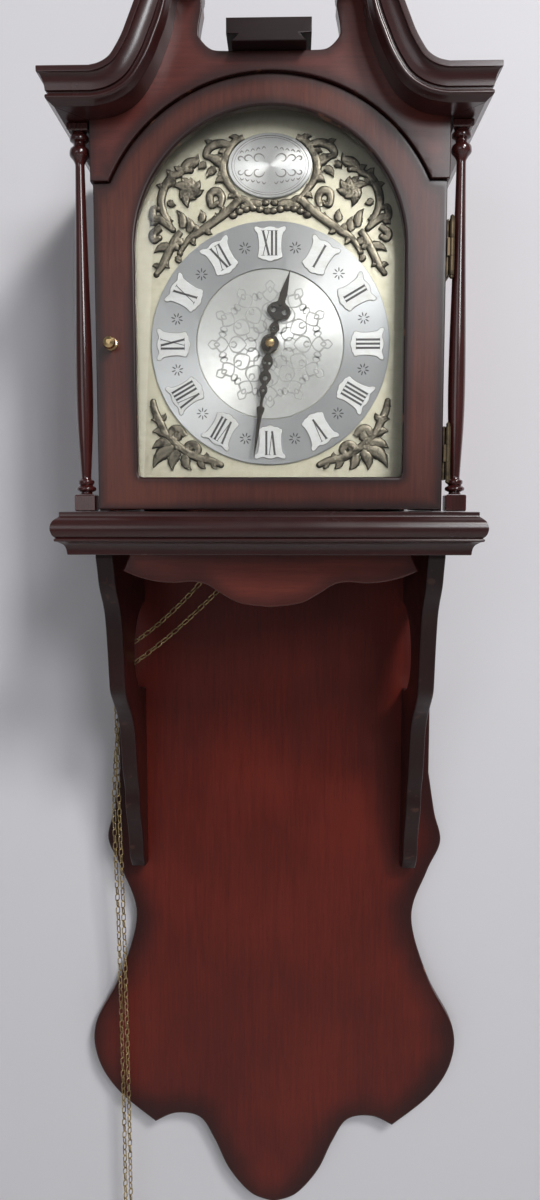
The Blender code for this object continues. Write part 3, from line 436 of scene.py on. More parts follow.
def build_wood_effect():
    """Stained and polished mahogany: grain, pores, clouded stain, darkening towards the rim, rubbed edges. The
    darkening is a toning on most boards and painted shade on the door.
    """
    tree, given, out = effect("polished mahogany", [
        ("Vector", "Vector", None), ("Light", "Color", (*RED, 1)), ("Dark", "Color", (*DEEP_RED, 1)),
        ("Toner", "Color", (*NEAR_BLACK, 1)), ("Toner And Shade Width", "Float", 0.014), ("Toner And Shade Amount", "Float", 0.8),
        ("Wear", "Float", 0.5), ("Gloss", "Float", 0.33), ("Rim", "Float", 1.0)])
    streak = node(tree, "TexNoise", {}, {"Vector": given["Vector"], "Scale": 1.0, "Detail": 7.0,
                                         "Roughness": 0.62, "Distortion": 0.35}).outputs[0]
    fine = node(tree, "VectorMath", {"operation": "SCALE"}, {0: given["Vector"], "Scale": 4.0}).outputs[0]
    pore = node(tree, "TexNoise", {}, {"Vector": fine, "Scale": 1.0, "Detail": 2.0}).outputs[0]
    place = node(tree, "TexCoord", {}, {}).outputs["Object"]
    cloud = node(tree, "TexNoise", {}, {"Vector": place, "Scale": 9.0, "Detail": 3.0}).outputs[0]
    mixed = math(tree, "ADD", math(tree, "MULTIPLY", streak, 0.45), math(tree, "MULTIPLY", cloud, 0.55))
    colour = blend_colours(tree, "MIX", spread(tree, mixed, 0.34, 0.66), given["Dark"], given["Light"])
    pores = spread(tree, pore, 0.60, 0.74, 0.0, 0.45)
    colour = blend_colours(tree, "MIX", pores, colour, given["Toner"])
    # Darkening in from the rim: a toning on most boards, and painted shade along the door's gap and the lip of
    # its opening.
    wander = math(tree, "MULTIPLY", math(tree, "SUBTRACT", cloud, 0.5), given["Toner And Shade Width"])
    inward = math(tree, "ADD", given["Rim"], wander)
    toned_and_shaded = spread(tree, inward, 0.0, given["Toner And Shade Width"], 1.0, 0.0)
    toned_and_shaded = math(tree, "MULTIPLY", toned_and_shaded, given["Toner And Shade Amount"])
    colour = blend_colours(tree, "MIX", toned_and_shaded, colour, given["Toner"])
    nick = node(tree, "TexNoise", {}, {"Vector": place, "Scale": 95.0, "Detail": 4.0}).outputs[0]
    rubbed = spread(tree, given["Rim"], 0.0, 0.0012, 1.0, 0.0)
    rubbed = math(tree, "MULTIPLY", rubbed, spread(tree, nick, 0.60, 0.70))
    rubbed = math(tree, "MULTIPLY", rubbed, given["Wear"])
    colour = blend_colours(tree, "MIX", rubbed, colour, (0.34, 0.15, 0.08, 1))
    tree.links.new(colour, out["Colour"])
    smear = node(tree, "TexNoise", {}, {"Vector": place, "Scale": 30.0, "Detail": 4.0}).outputs[0]
    smear = math(tree, "MULTIPLY", math(tree, "SUBTRACT", smear, 0.5), 0.22)
    rough = math(tree, "ADD", given["Gloss"], smear)
    tree.links.new(math(tree, "ADD", rough, math(tree, "MULTIPLY", rubbed, 0.2)), out["Roughness"])
    tree.links.new(math(tree, "SUBTRACT", streak, math(tree, "MULTIPLY", pores, 1.5)), out["Height"])
    return tree


WOOD = build_wood_effect()
POLISH = {"Coat Weight": 0.25, "Coat Roughness": 0.28, "Specular IOR Level": 0.42}
WAXED = {"Coat Weight": 0.1, "Coat Roughness": 0.3, "Specular IOR Level": 0.3}
PLAIN = {"Coat Weight": 0.1, "Specular IOR Level": 0.3}
UPRIGHT, LEVEL = (420, 420, 22), (22, 420, 420)      # which way the grain runs


def wood(name, light, dark, grain, gloss, toner_and_shade=None, wear=0.0, shader=POLISH, bump=0.1):
    """A mahogany finish; the edge darkening gives how far it reaches in from the edges, in m, and how strong
    it is. It is a toning on most boards and painted shade on the door.
    """
    reach, amount = toner_and_shade or (0.014, 0.0)
    values = {"Light": (*light, 1), "Dark": (*dark, 1), "Toner And Shade Width": reach, "Toner And Shade Amount": amount,
              "Wear": wear, "Gloss": gloss}
    return finish(name, WOOD, values, grain, shader, bump, rim=bool(toner_and_shade))


def inset_loop(loop, inset):
    """Move a closed anticlockwise outline inwards by a distance."""
    moved = []
    for a, b, c in zip([loop[-1]] + loop[:-1], loop, loop[1:] + [loop[0]]):
        first = Vector((b[0] - a[0], b[1] - a[1])).normalized()
        second = Vector((c[0] - b[0], c[1] - b[1])).normalized()
        turn = Vector((-first.y, first.x)) + Vector((-second.y, second.x))
        turn.normalize()
        reach = inset / max(turn.dot(Vector((-first.y, first.x))), 0.4)
        moved.append((b[0] + turn.x * reach, b[1] + turn.y * reach))
    return moved


def anticlockwise(loop):
    area = sum(a[0] * b[1] - b[0] * a[1] for a, b in zip(loop, loop[1:] + [loop[0]]))
    return list(loop) if area > 0 else list(reversed(loop))


def to_nearest(spots, loops):
    """The distance of each spot (u, v) from the nearest side of the closed loops."""
    nearest = np.full(len(spots), 1e9)
    for loop in loops:
        for a, b in zip(loop, loop[1:] + loop[:1]):
            start, side = np.array(a), np.array(b) - np.array(a)
            share = np.clip(((spots - start) @ side) / max(side @ side, 1e-9), 0, 1)
            nearest = np.minimum(nearest, np.linalg.norm(spots - start - share[:, None] * side, axis=1))
    return nearest


def note_rim(mesh, distance):
    """Store each point's distance from the edge, given in mm, for the edge toning and the painted edge shade
    to follow.
    """
    rim = mesh.attributes.new("rim", "FLOAT", "POINT")
    rim.data.foreach_set("value", (distance * MM).astype(np.float32))


def evened(made):
    """Shade a piece's broad faces flat up to their rounded edges."""
    made.modifiers.new("even shading", "WEIGHTED_NORMAL").keep_sharp = True
    return made


def board(name, outline, low, high, rounding, grid=0.0, sideways=False, steps=3):
    """A flat board from an outline, rounded over at both faces, with its distance from the edge as "rim".

    The outline lies in x and z, or in y and z where sideways is true; low and high are its two faces.
    A grid of that many mm cuts the faces, so that the distance can shade them.
    """
    outline = anticlockwise(outline)
    stations = []
    for k in range(steps + 1):
        a = pi / 2 * k / steps
        stations.append((rounding * (1 - sin(a)), low + rounding * (1 - cos(a))))
    stations += [(inset, high - (depth - low)) for inset, depth in reversed(stations)]
    shape = bmesh.new()
    loops = []
    for inset, depth in stations:
        ring = inset_loop(outline, inset) if inset else outline
        loops.append([shape.verts.new((u, v, depth)) for u, v in ring])
    for near, far in zip(loops, loops[1:]):
        for i in range(len(near)):
            j = (i + 1) % len(near)
            shape.faces.new((near[i], near[j], far[j], far[i]))
    inner = inset_loop(outline, rounding)
    inside = []
    if grid:
        left, right = min(u for u, v in inner), max(u for u, v in inner)
        low_end, high_end = min(v for u, v in inner), max(v for u, v in inner)
        across, up = int((right - left) / grid), int((high_end - low_end) / grid)
        inside = [(left + (i + 0.5) * grid, low_end + (j + 0.5) * grid)
                  for i in range(across) for j in range(up)]
    count = len(inner)
    rim_edges = [(i, (i + 1) % count) for i in range(count)]
    spots = [Vector(p) for p in inner + inside]
    points, _, fans, sources, _, _ = delaunay_2d_cdt(spots, rim_edges, [], 1, 1e-5)
    for loop, depth in ((loops[0], stations[0][1]), (loops[-1], stations[-1][1])):
        known = {}
        for i, origin in enumerate(sources):
            known[i] = loop[origin[0]] if origin and origin[0] < count else None
        for fan in fans:
            corners = []
            for i in fan:
                if known[i] is None:
                    known[i] = shape.verts.new((points[i].x, points[i].y, depth))
                corners.append(known[i])
            shape.faces.new(corners)
    bmesh.ops.recalc_face_normals(shape, faces=shape.faces)
    shape.verts.index_update()
    distance = to_nearest(np.array([v.co[:2] for v in shape.verts]), [outline])
    for vert in shape.verts:
        u, v, depth = vert.co
        vert.co = at(depth, u, v) if sideways else at(u, depth, v)
    mesh = bpy.data.meshes.new(name)
    shape.to_mesh(mesh)
    shape.free()
    note_rim(mesh, distance)
    mesh.shade_smooth()
    mesh.set_sharp_from_angle(angle=radians(35))
    made = bpy.data.objects.new(name, mesh)
    bpy.context.scene.collection.objects.link(made)
    return evened(made)


def mirrored(half):
    """Close a right-hand outline, top centre to bottom centre, with its left-hand mirror."""
    return list(half) + [(-u, v) for u, v in reversed(half) if u > 1e-6]


def arc(centre, radius, start, end, steps):
    turns = [radians(start + (end - start) * i / steps) for i in range(steps + 1)]
    return [(centre[0] + radius * cos(a), centre[1] + radius * sin(a)) for a in turns]


lobes = smooth_curve([(143, -240), (149, -278), (155, -306), (143, -335), (129.5, -380), (146, -440),
                      (170, -488), (169, -524), (150, -557), (114, -588.5)], 9)
foot = smooth_curve([(114, -588.5), (94, -579.5), (71, -583.5), (57, -606), (43, -636.5), (22, -661.5),
                     (0, -670)], 9)
half = [(0, 293.8), (117, 293.8), (117, -8), (143, -8)] + lobes + foot[1:]
backboard = board("shaped_backboard", mirrored(half), BOARD_FACE, BOARD_BACK, 2.2, grid=11.0)
BACKBOARD_WOOD = wood("backboard mahogany", RED, DEEP_RED, UPRIGHT, 0.36, toner_and_shade=(0.030, 0.78), wear=0.8,
                      shader=WAXED, bump=0.12)
fit(backboard, BACKBOARD_WOOD, "case", "backboard")
IRON = metal("japanned iron", (0.05, 0.048, 0.045), (0.09, 0.05, 0.03), 0.5, 0.45, (500, 500, 500),
             metallic=0.3, bump=0.2)


def cover(name, material):
    """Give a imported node, whose shape is right, its finish."""
    nodes[name].data.materials.clear()
    nodes[name].data.materials.append(material)


cover("hanger_plate", IRON)

# ---------------------------------------------------------------- shelf
# A solid dark mahogany shelf with its mould run round the front and both ends: a flat top, a bold half
# round, a quirk and a cove. It is housed against the backboard and carries the hood and the movement's seat.
SHELF_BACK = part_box("shelf")[1].y / MM
SHELF_HALF, SHELF_NOSE = 141.0, -197.0
MOULD_WOOD = wood("dark mahogany moulding", (0.042, 0.0085, 0.0075), DARK, LEVEL, 0.24,
                  shader={**POLISH, "Coat Weight": 0.55}, bump=0.08)


section = [(0, -6), (0, 3.2)] + smooth_curve([(-0.3, 4.2), (-3.2, 4.3), (-4.6, 6.0), (-7, 8.4), (-11.5, 9.6),
                                              (-16, 8.4), (-18.2, 6.2)], 4)
section += smooth_curve([(-18.6, 7.1), (-19.5, 7.5), (-20.4, 7.1)], 3)
section += smooth_curve([(-20.9, 5.2), (-23, 2.0), (-26, 0.5), (-29.6, 0.0)], 4) + [(-30, -0.4), (-30, -6)]
verts, faces = [], []
rings = []
for z, out in section:
    edge = SHELF_HALF + out
    nose = SHELF_NOSE - out
    rings.append([(-edge, SHELF_BACK, z), (-edge, nose, z), (edge, nose, z), (edge, SHELF_BACK, z)])
slot_low, slot_high = (-58, -105), (58, -38)
hole = [(slot_low[0], slot_high[1]), (slot_low[0], slot_low[1]), (slot_high[0], slot_low[1]),
        (slot_high[0], slot_high[1])]
rings.append([(u, v, -30) for u, v in hole])
rings.append([(u, v, 0) for u, v in hole])
skin(verts, faces, rings, closed=True)
shelf = piece("moulded_shelf", verts, faces, 30)
evened(shelf)
fit(shelf, MOULD_WOOD, "case", "shelf")

# ---------------------------------------------------------------- apron and brackets
# The apron is a scalloped board tenoned between the brackets under the shelf's front. Each bracket is a thick
# fretted board with a scalloped front edge and a D-shaped opening where it meets the backboard.
edge_line = smooth_curve([(111, -44.5), (101, -48.8), (88, -52.3), (73, -53.8), (59, -52.8), (48, -54.8),
                          (38, -61), (22.6, -69), (0, -72)], 7)
half = [(0, -30.3), (105.5, -30.3), (106.5, -34)] + edge_line
apron = board("scalloped_apron", mirrored(half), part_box("apron")[0].y / MM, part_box("apron")[1].y / MM, 1.4,
              grid=7.0)
# The apron's mahogany is made far lighter than the backboard's red: painted light, making up for the shelf's
# shadow that falls on it.
APRON_WOOD_WITH_PAINTED_LIGHT = wood("apron mahogany with painted light", (0.29, 0.055, 0.035), (0.19, 0.034, 0.022), LEVEL, 0.33,
                  toner_and_shade=(0.012, 0.6), wear=0.5, bump=0.12)
fit(apron, APRON_WOOD_WITH_PAINTED_LIGHT, "case", "apron")
BRACKET_WOOD = wood("bracket mahogany", (0.048, 0.0085, 0.0065), (0.026, 0.0050, 0.0042), UPRIGHT, 0.38,
                    toner_and_shade=(0.008, 0.7), wear=0.12, shader=PLAIN)
back = BOARD_FACE - 0.3
front = smooth_curve([(-158, -34), (-153, -45), (-147, -58), (-134, -73), (-127, -86), (-121, -110),
                      (-117, -133), (-113, -146), (-98, -160), (-86, -171), (-74, -190), (-66, -225),
                      (-57, -245), (-55, -262), (-42, -292), (-38, -312), (-28, -325)], 5)
notch = [(back - 57.0 * cos(radians(a)), -122 + 39.0 * sin(radians(a))) for a in range(-90, 91, 6)]
bracket_line = [(back, -30.3), (-158, -30.3)] + front + [(back, -328)] + notch
for side, sign in (("left", -1), ("right", 1)):
    low, high = sorted((sign * 117.0, sign * 130.0))
    bracket = board("scalloped_bracket_" + side, bracket_line, low, high, 1.3, grid=8.0, sideways=True)
    fit(bracket, BRACKET_WOOD, "case", "bracket_" + side)

# ---------------------------------------------------------------- hood sides and roof
# Thin veneered sides stand on the shelf between the backboard and the pediment; the roof board closes them.
# The seat board lies across the shelf inside and carries the movement.
SIDE_WOOD = wood("hood side mahogany", RED, DEEP_RED, UPRIGHT, 0.33)
ROOF_WOOD = wood("hood roof mahogany", DEEP_RED, DARK, LEVEL, 0.5, shader={"Coat Weight": 0.1})
for name in ("hood_side_left", "hood_side_right"):
    cover(name, SIDE_WOOD)
cover("hood_roof", ROOF_WOOD)
cover("seat_board", ROOF_WOOD)

# ---------------------------------------------------------------- pediment
# A broad front board, arched below for the door and cut away above between two swan necks. The necks and the
# level returns are one run of cornice mould: fillet, cove, quirk, bead and soffit, planted on and mitred.
HOOD_TOP = 294.3
SIDE_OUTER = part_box("hood_side_right")[1].x / MM
PEDIMENT_FACE, PEDIMENT_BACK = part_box("pediment_board")[0].y / MM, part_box("pediment_board")[1].y / MM
CORNICE_BACK, RETURN_BACK = -169.3, -13.3
SCROLL, SCROLL_RADIUS = (61.0, 356.0), 16.5
NECK = [(119, 294.3, 1), (112, 296, 1), (105.5, 300, 1), (100.8, 306.5, 1), (96.6, 314, 1), (93, 322.5, 1),
        (89.3, 331.5, 1), (85.3, 341, 0.95), (81, 349.5, 0.84), (77.5, 356, 0.72)]
ARCH_CENTRE, BOARD_ARCH, PEDIMENT_CORNER = 179.3, 124.3, 231.0
arch_start = degrees(asin((PEDIMENT_CORNER - ARCH_CENTRE) / BOARD_ARCH))
neck_line = smooth_curve(NECK, 5)
scroll = arc(SCROLL, SCROLL_RADIUS - 0.9, 20, 200, 24)
inner = smooth_curve([(46, 345), (48.6, 331), (47.5, 324.5), (40, 317.6), (30, 316.5)], 6)
half = [(0, 316.5)] + list(reversed(inner)) + list(reversed(scroll))
half += [(x - 0.8, z - 0.8) for x, z, width in reversed(neck_line)]
half += [(SIDE_OUTER - 0.5, HOOD_TOP - 0.8), (SIDE_OUTER - 0.5, PEDIMENT_CORNER)]
half += arc((0, ARCH_CENTRE), BOARD_ARCH, arch_start, 90, 44)
PEDIMENT_WOOD = wood("pediment mahogany", (0.130, 0.027, 0.019), (0.075, 0.015, 0.012), LEVEL, 0.33,
                     toner_and_shade=(0.010, 0.75), wear=0.6)
pediment = board("swan_neck_pediment", mirrored(half), PEDIMENT_FACE, PEDIMENT_BACK, 0.9, grid=9.0)
fit(pediment, PEDIMENT_WOOD, "case", "pediment_board")

COVE = smooth_curve([(3.9, 30.2), (4.5, 28.6), (7, 27), (10, 25.9), (13.8, 25.3)], 4)
BEAD = smooth_curve([(15.7, 23.7), (16.2, 25), (17.6, 25.6), (19, 25), (20.6, 22.4), (22.2, 20)], 4)
MOULD = [(0, 0), (0, 29.8), (0.5, 30.3), (3.4, 30.3)] + COVE      # (drop, out) from the top back corner
MOULD += [(14.3, 23.6), (15.4, 23.6)] + BEAD + [(22.3, 0)]
RETURN_SCALE = 0.9


def return_place(sign, drop, out):
    """A point of the level return's section, beside the hood, as x and z."""
    return sign * (SIDE_OUTER + 0.3 + RETURN_SCALE * out), HOOD_TOP - drop


for side, sign in (("left", -1), ("right", 1)):
    path = neck_line + [(x, z, 0.72) for x, z in arc(SCROLL, SCROLL_RADIUS, 20, 180, 22)[1:]]
    mitre = [return_place(sign, drop, out) for drop, out in MOULD]
    rings = [[(x, CORNICE_BACK - out, z) for (x, z), (drop, out) in zip(mitre, MOULD)]]
    for i, (x, z, width) in enumerate(path):
        before = path[max(i - 1, 0)]
        after = path[min(i + 1, len(path) - 1)]
        along = Vector((after[0] - before[0], after[1] - before[1])).normalized()
        if i == 0:
            along = Vector((-1.0, 0.0))
        down = Vector((-along.y, along.x))
        rings.append([(sign * (x + down.x * drop * width), CORNICE_BACK - out, z + down.y * drop * width)
                      for drop, out in MOULD])
    verts, faces = [], []
    skin(verts, faces, rings)
    neck = piece("swan_neck_mould_" + side, verts, faces, 40)
    evened(neck)
    fit(neck, MOULD_WOOD, "case", "swan_neck_" + side)
    rings = []
    for near in (True, False):
        rings.append([(x, CORNICE_BACK - out + 0.6 if near else RETURN_BACK, z)
                      for (x, z), (drop, out) in zip(mitre, MOULD)])
    verts, faces = [], []
    skin(verts, faces, rings)
    level = piece("cornice_mould_" + side, verts, faces, 40)
    evened(level)
    fit(level, MOULD_WOOD, "case", "cornice_return_" + side)

# the plinth block between the necks: a flat cap over a cove and a stepped foot
low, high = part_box("plinth_block")[0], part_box("plinth_block")[1]
cap_line = [(0, 332), (29, 332), (29, 321.8), (21, 321.5), (25.5, 316.8), (0, 316.8)]
plinth = board("plinth", mirrored(cap_line), low.y / MM, high.y / MM, 0.8)
PLINTH_WOOD = wood("blackened plinth", (0.018, 0.0055, 0.0055), (0.010, 0.0035, 0.0035), LEVEL, 0.4,
                   shader=PLAIN)
fit(plinth, PLINTH_WOOD, "case", "plinth_block")

# ---------------------------------------------------------------- columns
# Slender turned columns, each in one piece with its square blocks: a swelling shaft between turned rings,
# a wide bead and hollow neck at the top. They stand free of the hood between the shelf and the cornice.
COLUMN_X, COLUMN_Y, COLUMN_SIDES = 135.0, -159.0, 40
BLOCK = 7.3                     # half width of the square blocks
COLUMN_WOOD = wood("turned mahogany", (0.065, 0.012, 0.010), (0.032, 0.0065, 0.006), UPRIGHT, 0.2,
                   shader={**POLISH, "Coat Weight": 0.7, "Coat Roughness": 0.12}, bump=0.06)
turning = [(5.2, 12.5), (4.3, 13.2), (4.2, 14.2)]      # (radius, z) up the column
turning += smooth_curve([(5.4, 14.6), (6.9, 15.6), (6.9, 17.4), (5.2, 18.6)], 5)
turning += smooth_curve([(4.6, 19.3), (5.5, 20.0), (5.7, 21.3), (5.5, 22.6), (4.0, 23.4)], 4)
turning += smooth_curve([(3.5, 24.4), (4.4, 40), (5.6, 62), (6.1, 85), (5.9, 115), (5.2, 150), (4.3, 190),
                         (3.6, 225), (3.3, 245.0)], 6)
turning += smooth_curve([(3.6, 246.2), (4.9, 248.5), (6.9, 251.0), (7.1, 253.5), (6.4, 255.8),
                         (4.6, 257.0)], 5)
turning += [(4.3, 257.6), (4.3, 259.6)]
turning += smooth_curve([(5.2, 260.2), (6.6, 261.2), (6.8, 262.6), (6.6, 264.0), (5.4, 265.2)], 4)
turning += [(5.2, 266.2)]
for side, sign in (("left", -1), ("right", 1)):
    verts, faces = [], []
    for base, top in ((0.3, 12.2), (266.4, 271.7)):
        rings = []
        for inset, z in ((0.7, base), (0.0, base + 0.7), (0.0, top - 0.7), (0.7, top)):
            reach = BLOCK - inset
            rings.append([(sign * COLUMN_X + u * reach, COLUMN_Y + v * reach, z)
                          for u, v in ((-1, -1), (1, -1), (1, 1), (-1, 1))])
        skin(verts, faces, rings)
    rings = []
    for radius, z in turning:
        turns = [2 * pi * k / COLUMN_SIDES for k in range(COLUMN_SIDES)]
        rings.append([(sign * COLUMN_X + radius * cos(a), COLUMN_Y + radius * sin(a), z) for a in turns])
    skin(verts, faces, rings)
    column = piece("turned_column_" + side, verts, faces, 32)
    fit(column, COLUMN_WOOD, "case", "column_" + side)

# ---------------------------------------------------------------- movement
# A weight-driven movement: two brass plates held apart by four turned pillars, steel arbors, brass wheels
# and chain sprocket, and the motion work in front. All of it is behind the dial.
MOVEMENT_BRASS = metal("movement brass", (0.70, 0.50, 0.22), (0.34, 0.22, 0.09), 0.45, 0.3, (30, 30, 900),
                       bump=0.08)
STEEL = metal("blued grey steel", (0.42, 0.43, 0.45), (0.17, 0.14, 0.12), 0.4, 0.25, (700, 40, 700),
              bump=0.08)
for name in ("front_plate", "back_plate", "pillar_lower_left", "pillar_lower_right", "pillar_upper_left",
             "pillar_upper_right", "chain_sprocket", "back_cock", "minute_wheel", "hour_wheel"):
    cover(name, MOVEMENT_BRASS)
for name in ("great_wheel", "centre_wheel", "third_wheel", "escape_wheel", "pallet_anchor", "crutch",
             "cannon_pinion", "minute_stud"):
    cover(name, STEEL)

# ---------------------------------------------------------------- dial plate
# One sheet of metal with an arched top, spun to a matt cream-gold ground and lacquered.
HANDS = (0.0, 122.6)
DIAL_FACE, RING_FACE = -143.3, -144.7
CREAM = metal("lacquered cream ground", (0.48, 0.45, 0.34), (0.39, 0.35, 0.24), 0.35, 0.34, (40, 40, 700),
              metallic=0.45, streaks=0.1, bump=0.05)
cover("dial_plate", CREAM)


def slab(verts, faces, outline, low, high, bevel=0.0):
    """Add a flat plate over an outline (x, z), with a bevel at its front, to lists of points and faces."""
    outline = anticlockwise(outline)
    rings = [[(x, low, z) for x, z in outline]]
    if bevel:
        rings.append([(x, high + bevel, z) for x, z in outline])
        rings.append([(x, high, z) for x, z in inset_loop(outline, bevel)])
    else:
        rings.append([(x, high, z) for x, z in outline])
    skin(verts, faces, rings)


def stroke(verts, faces, route, width, low, high, crest=0.0, vein=0.0):
    """Add a raised stroke along a route (x, z); width is half of it, or a function of the share along.

    crest rounds it up by that much towards the front and vein sinks a groove along its middle.
    """
    rings = []
    for i, point in enumerate(route):
        before, after = route[max(i - 1, 0)], route[min(i + 1, len(route) - 1)]
        along = Vector((after[0] - before[0], after[1] - before[1])).normalized()
        side = Vector((-along.y, along.x))
        w = width(i / (len(route) - 1)) if callable(width) else width
        w = max(w, 0.05)
        lift = crest * min(1.0, w / 0.8)
        rings.append([(point[0] + side.x * w * k, y, point[1] + side.y * w * k)
                      for k, y in ((-1, low), (-0.92, high), (-0.5, high - lift), (0, high - lift + vein),
                                   (0.5, high - lift), (0.92, high), (1, low))])
    skin(verts, faces, rings)


def oval(centre, across, up, y, count):
    """A ring of points round a centre (x, z), in a plane of its own y."""
    turns = [2 * pi * k / count for k in range(count)]
    return [(centre[0] + across * cos(a), y, centre[1] + up * sin(a)) for a in turns]


def dome(verts, faces, centre, radius, low, high, stretch=1.0):
    """Add a small round boss."""
    rings = []
    for a in (0, 25, 50, 72):
        r = radius * cos(radians(a))
        rings.append(oval(centre, r * stretch, r, low + (high - low) * sin(radians(a)), 14))
    skin(verts, faces, rings)


def lay(name, verts, faces, material, replaced=None, body="case", smooth=35):
    """Make a piece of relief or plate and fit it."""
    return fit(piece(name, verts, faces, smooth), material, body, replaced)


# ---------------------------------------------------------------- arch boss
# An oval domed boss in the arch, silvered and brushed level, with an engraved border and a plain scroll
# flourish in place of any lettering. It is pinned through the dial plate.
BOSS = (0.0, 248.6)
BOSS_WIDE, BOSS_TALL = 30.5, 22.6      # half width and half height
ENGRAVING = (-145.3, -145.6)        # the etched lines' back and front


def silvering(name, centre, shade):
    """Silvered brass brushed round and round a centre, so that its highlight is a bow tie."""
    made = metal(name, shade, (0.34, 0.33, 0.30), 0.15, 0.36, (2600, 1, 1), metallic=0.55, streaks=0.16,
                 bump=0.04, shader={"Anisotropic": 0.8, "Anisotropic Rotation": 0.25}, about=centre)
    tree = made.node_tree
    brush = node(tree, "Tangent", {"direction_type": "RADIAL", "axis": "Y"}, {})
    tree.links.new(brush.outputs[0], tree.nodes["Principled BSDF"].inputs["Tangent"])
    return made


BOSS_SILVER = silvering("silvered boss", BOSS, (0.40, 0.40, 0.39))
# Dark lines: the boss's real engraving, and the painted shadow round the chapter ring's cartouches.
ENGRAVED_AND_SHADOW = metal("engraved waxed lines and painted shadow", (0.17, 0.16, 0.15), (0.09, 0.08, 0.07), 0.4, 0.5,
                 (900, 900, 900), metallic=0.3)
verts, faces, rings = [], [], []
for share, y in ((1.0, DIAL_FACE), (1.0, -144.9), (0.985, -145.3), (0.97, -145.4), (0.5, -145.44),
                 (0.1, -145.45)):
    rings.append(oval(BOSS, BOSS_WIDE * share, BOSS_TALL * share, y, 96))
skin(verts, faces, rings)
lay("oval_boss", verts, faces, BOSS_SILVER, "arch_boss", smooth=14)
verts, faces = [], []
for share, wide in ((0.91, 0.28), (0.85, 0.14)):
    route = [(x, z) for x, y, z in oval(BOSS, BOSS_WIDE * share, BOSS_TALL * share, 0, 96)]
    stroke(verts, faces, route + route[:1], wide, -145.3, -145.52)
for sign in (-1, 1):
    for turn in (-1, 1):
        for start, size in ((4.0, 4.6), (12.4, 3.6), (19.0, 2.4)):
            scroll = []
            for k in range(25):
                a = 1.6 * pi * k / 24
                reach = size * (1 - 0.62 * k / 24)
                rise = 4.6 + reach * sin(a) * 0.9
                scroll.append((sign * (start + size - reach * cos(a)), BOSS[1] + turn * rise))
            stroke(verts, faces, scroll, lambda t: 0.14 + 0.42 * sin(pi * t), *ENGRAVING)
        for k in range(5):
            x = 3 + 4.0 * k
            z = 11.6 - 0.7 * k
            route = [(sign * (x + 3.0 * t), BOSS[1] + turn * (z + 1.6 * sin(pi * t) - 0.8 * t)) for t in
                     (0, 0.25, 0.5, 0.75, 1)]
            stroke(verts, faces, route, lambda t: 0.1 + 0.45 * sin(pi * t), *ENGRAVING)
lay("boss_engraving", verts, faces, ENGRAVED_AND_SHADOW)

# ---------------------------------------------------------------- cast spandrels
# Pierced and chased castings, bronzed and rubbed on their heights, pinned over the dial plate: leafy scrolls
# about a flower in each upper corner, and a leaf spray with two beaded stems in each lower corner.
CASTING = metal("bronzed casting", (0.20, 0.175, 0.13), (0.020, 0.017, 0.013), 0.8, 0.33, (700, 700, 700),
                metallic=0.85, streaks=0.5, bump=0.6, depth=(-144.1, -145.4))
FLOOR, MID = DIAL_FACE, -144.7
UPPER_SCROLLS = [
    [(62.2, 243.9), (70, 241.1), (75.8, 232.2), (77.4, 222.5), (73.2, 211.5), (69, 204.7)],
    [(17.1, 268.6), (24.3, 264.7), (29.3, 257.2), (32.2, 249), (30.1, 239.4), (24.4, 231.2), (18, 224.4)],
    [(34.5, 220.1), (33, 227), (36.6, 231.4), (41.6, 229), (40.9, 221.5), (36.6, 222.9)],
    [(10, 219.5), (18.7, 225.8), (28.8, 217.4), (38.8, 210.4), (48.9, 203.4), (57.6, 197.8), (64, 188)],
    [(69, 204.7), (77.5, 211.5), (83.2, 212.9), (83.1, 219.1), (79.5, 219.5)],
    [(77.6, 206), (83.6, 202), (82.7, 197.6), (79.1, 199)],
    [(63.3, 203.3), (67.6, 197.7), (73.5, 186.6), (77.9, 178.2), (81.5, 173.2)],
    [(50, 252.9), (57.1, 251.5), (60.5, 247), (55.7, 246.1)],
    [(24, 262), (33, 264.5), (41, 262.5), (44.5, 256.5), (40, 255)],
    [(4, 221.8), (11, 222.8), (18, 220.4)]]
UPPER_LEAVES = [
    ((32.2, 249), (45, 254.3), 3.2), ((37, 247), (44, 240.5), 2.6), ((48.8, 210), (48.6, 218.6), 2.6),
    ((57.5, 203), (57.8, 213.4), 2.8), ((62, 206), (66.3, 218.6), 2.8), ((70, 192), (83.1, 188.4), 2.9),
    ((68, 196), (63.4, 190.2), 2.4), ((75, 184), (71.5, 177.5), 2.2), ((79, 178), (84.5, 179), 2.0),
    ((62, 243), (68, 248.6), 2.5), ((57, 249), (50, 257.6), 2.6), ((29, 258), (36, 257.8), 2.3),
    ((22, 229), (29, 226), 2.2), ((45, 206), (40, 201.4), 2.2), ((66, 238), (71.5, 234), 2.0),
    ((74, 214), (68.5, 211), 2.1), ((30, 240), (38, 236.8), 2.4), ((38.8, 210.4), (38, 216.6), 2.2),
    ((28, 250), (21.5, 254), 1.8), ((55, 199), (52, 193.6), 2.0), ((20, 266), (28, 268.8), 2.0),
    ((33, 214.6), (32.4, 221.5), 2.6), ((26, 219), (24, 227.4), 2.4), ((52, 201.4), (54, 209), 2.6),
    ((62, 194), (70.5, 197), 2.8), ((66, 186), (62, 181.6), 2.2), ((80, 210), (85.6, 207.4), 2.2),
    ((72, 225), (66.4, 222), 2.2), ((75.5, 233), (81, 236), 2.0), ((70, 241), (73.4, 246.6), 2.2),
    ((40, 262), (45.6, 266.6), 2.2), ((30, 253), (37.4, 251), 2.4), ((44, 250), (50, 246.4), 2.4),
    ((27, 236), (22.8, 232.6), 2.0), ((36, 243), (30, 246.4), 2.2)]
FLOWER = (57.3, 232.3)
PETALS = [(48.7, 239.3), (45.9, 232.4), (51.6, 226.0), (57.4, 219.9), (63.1, 225.4), (68.7, 235), (63, 241),
          (55.8, 241.4)]
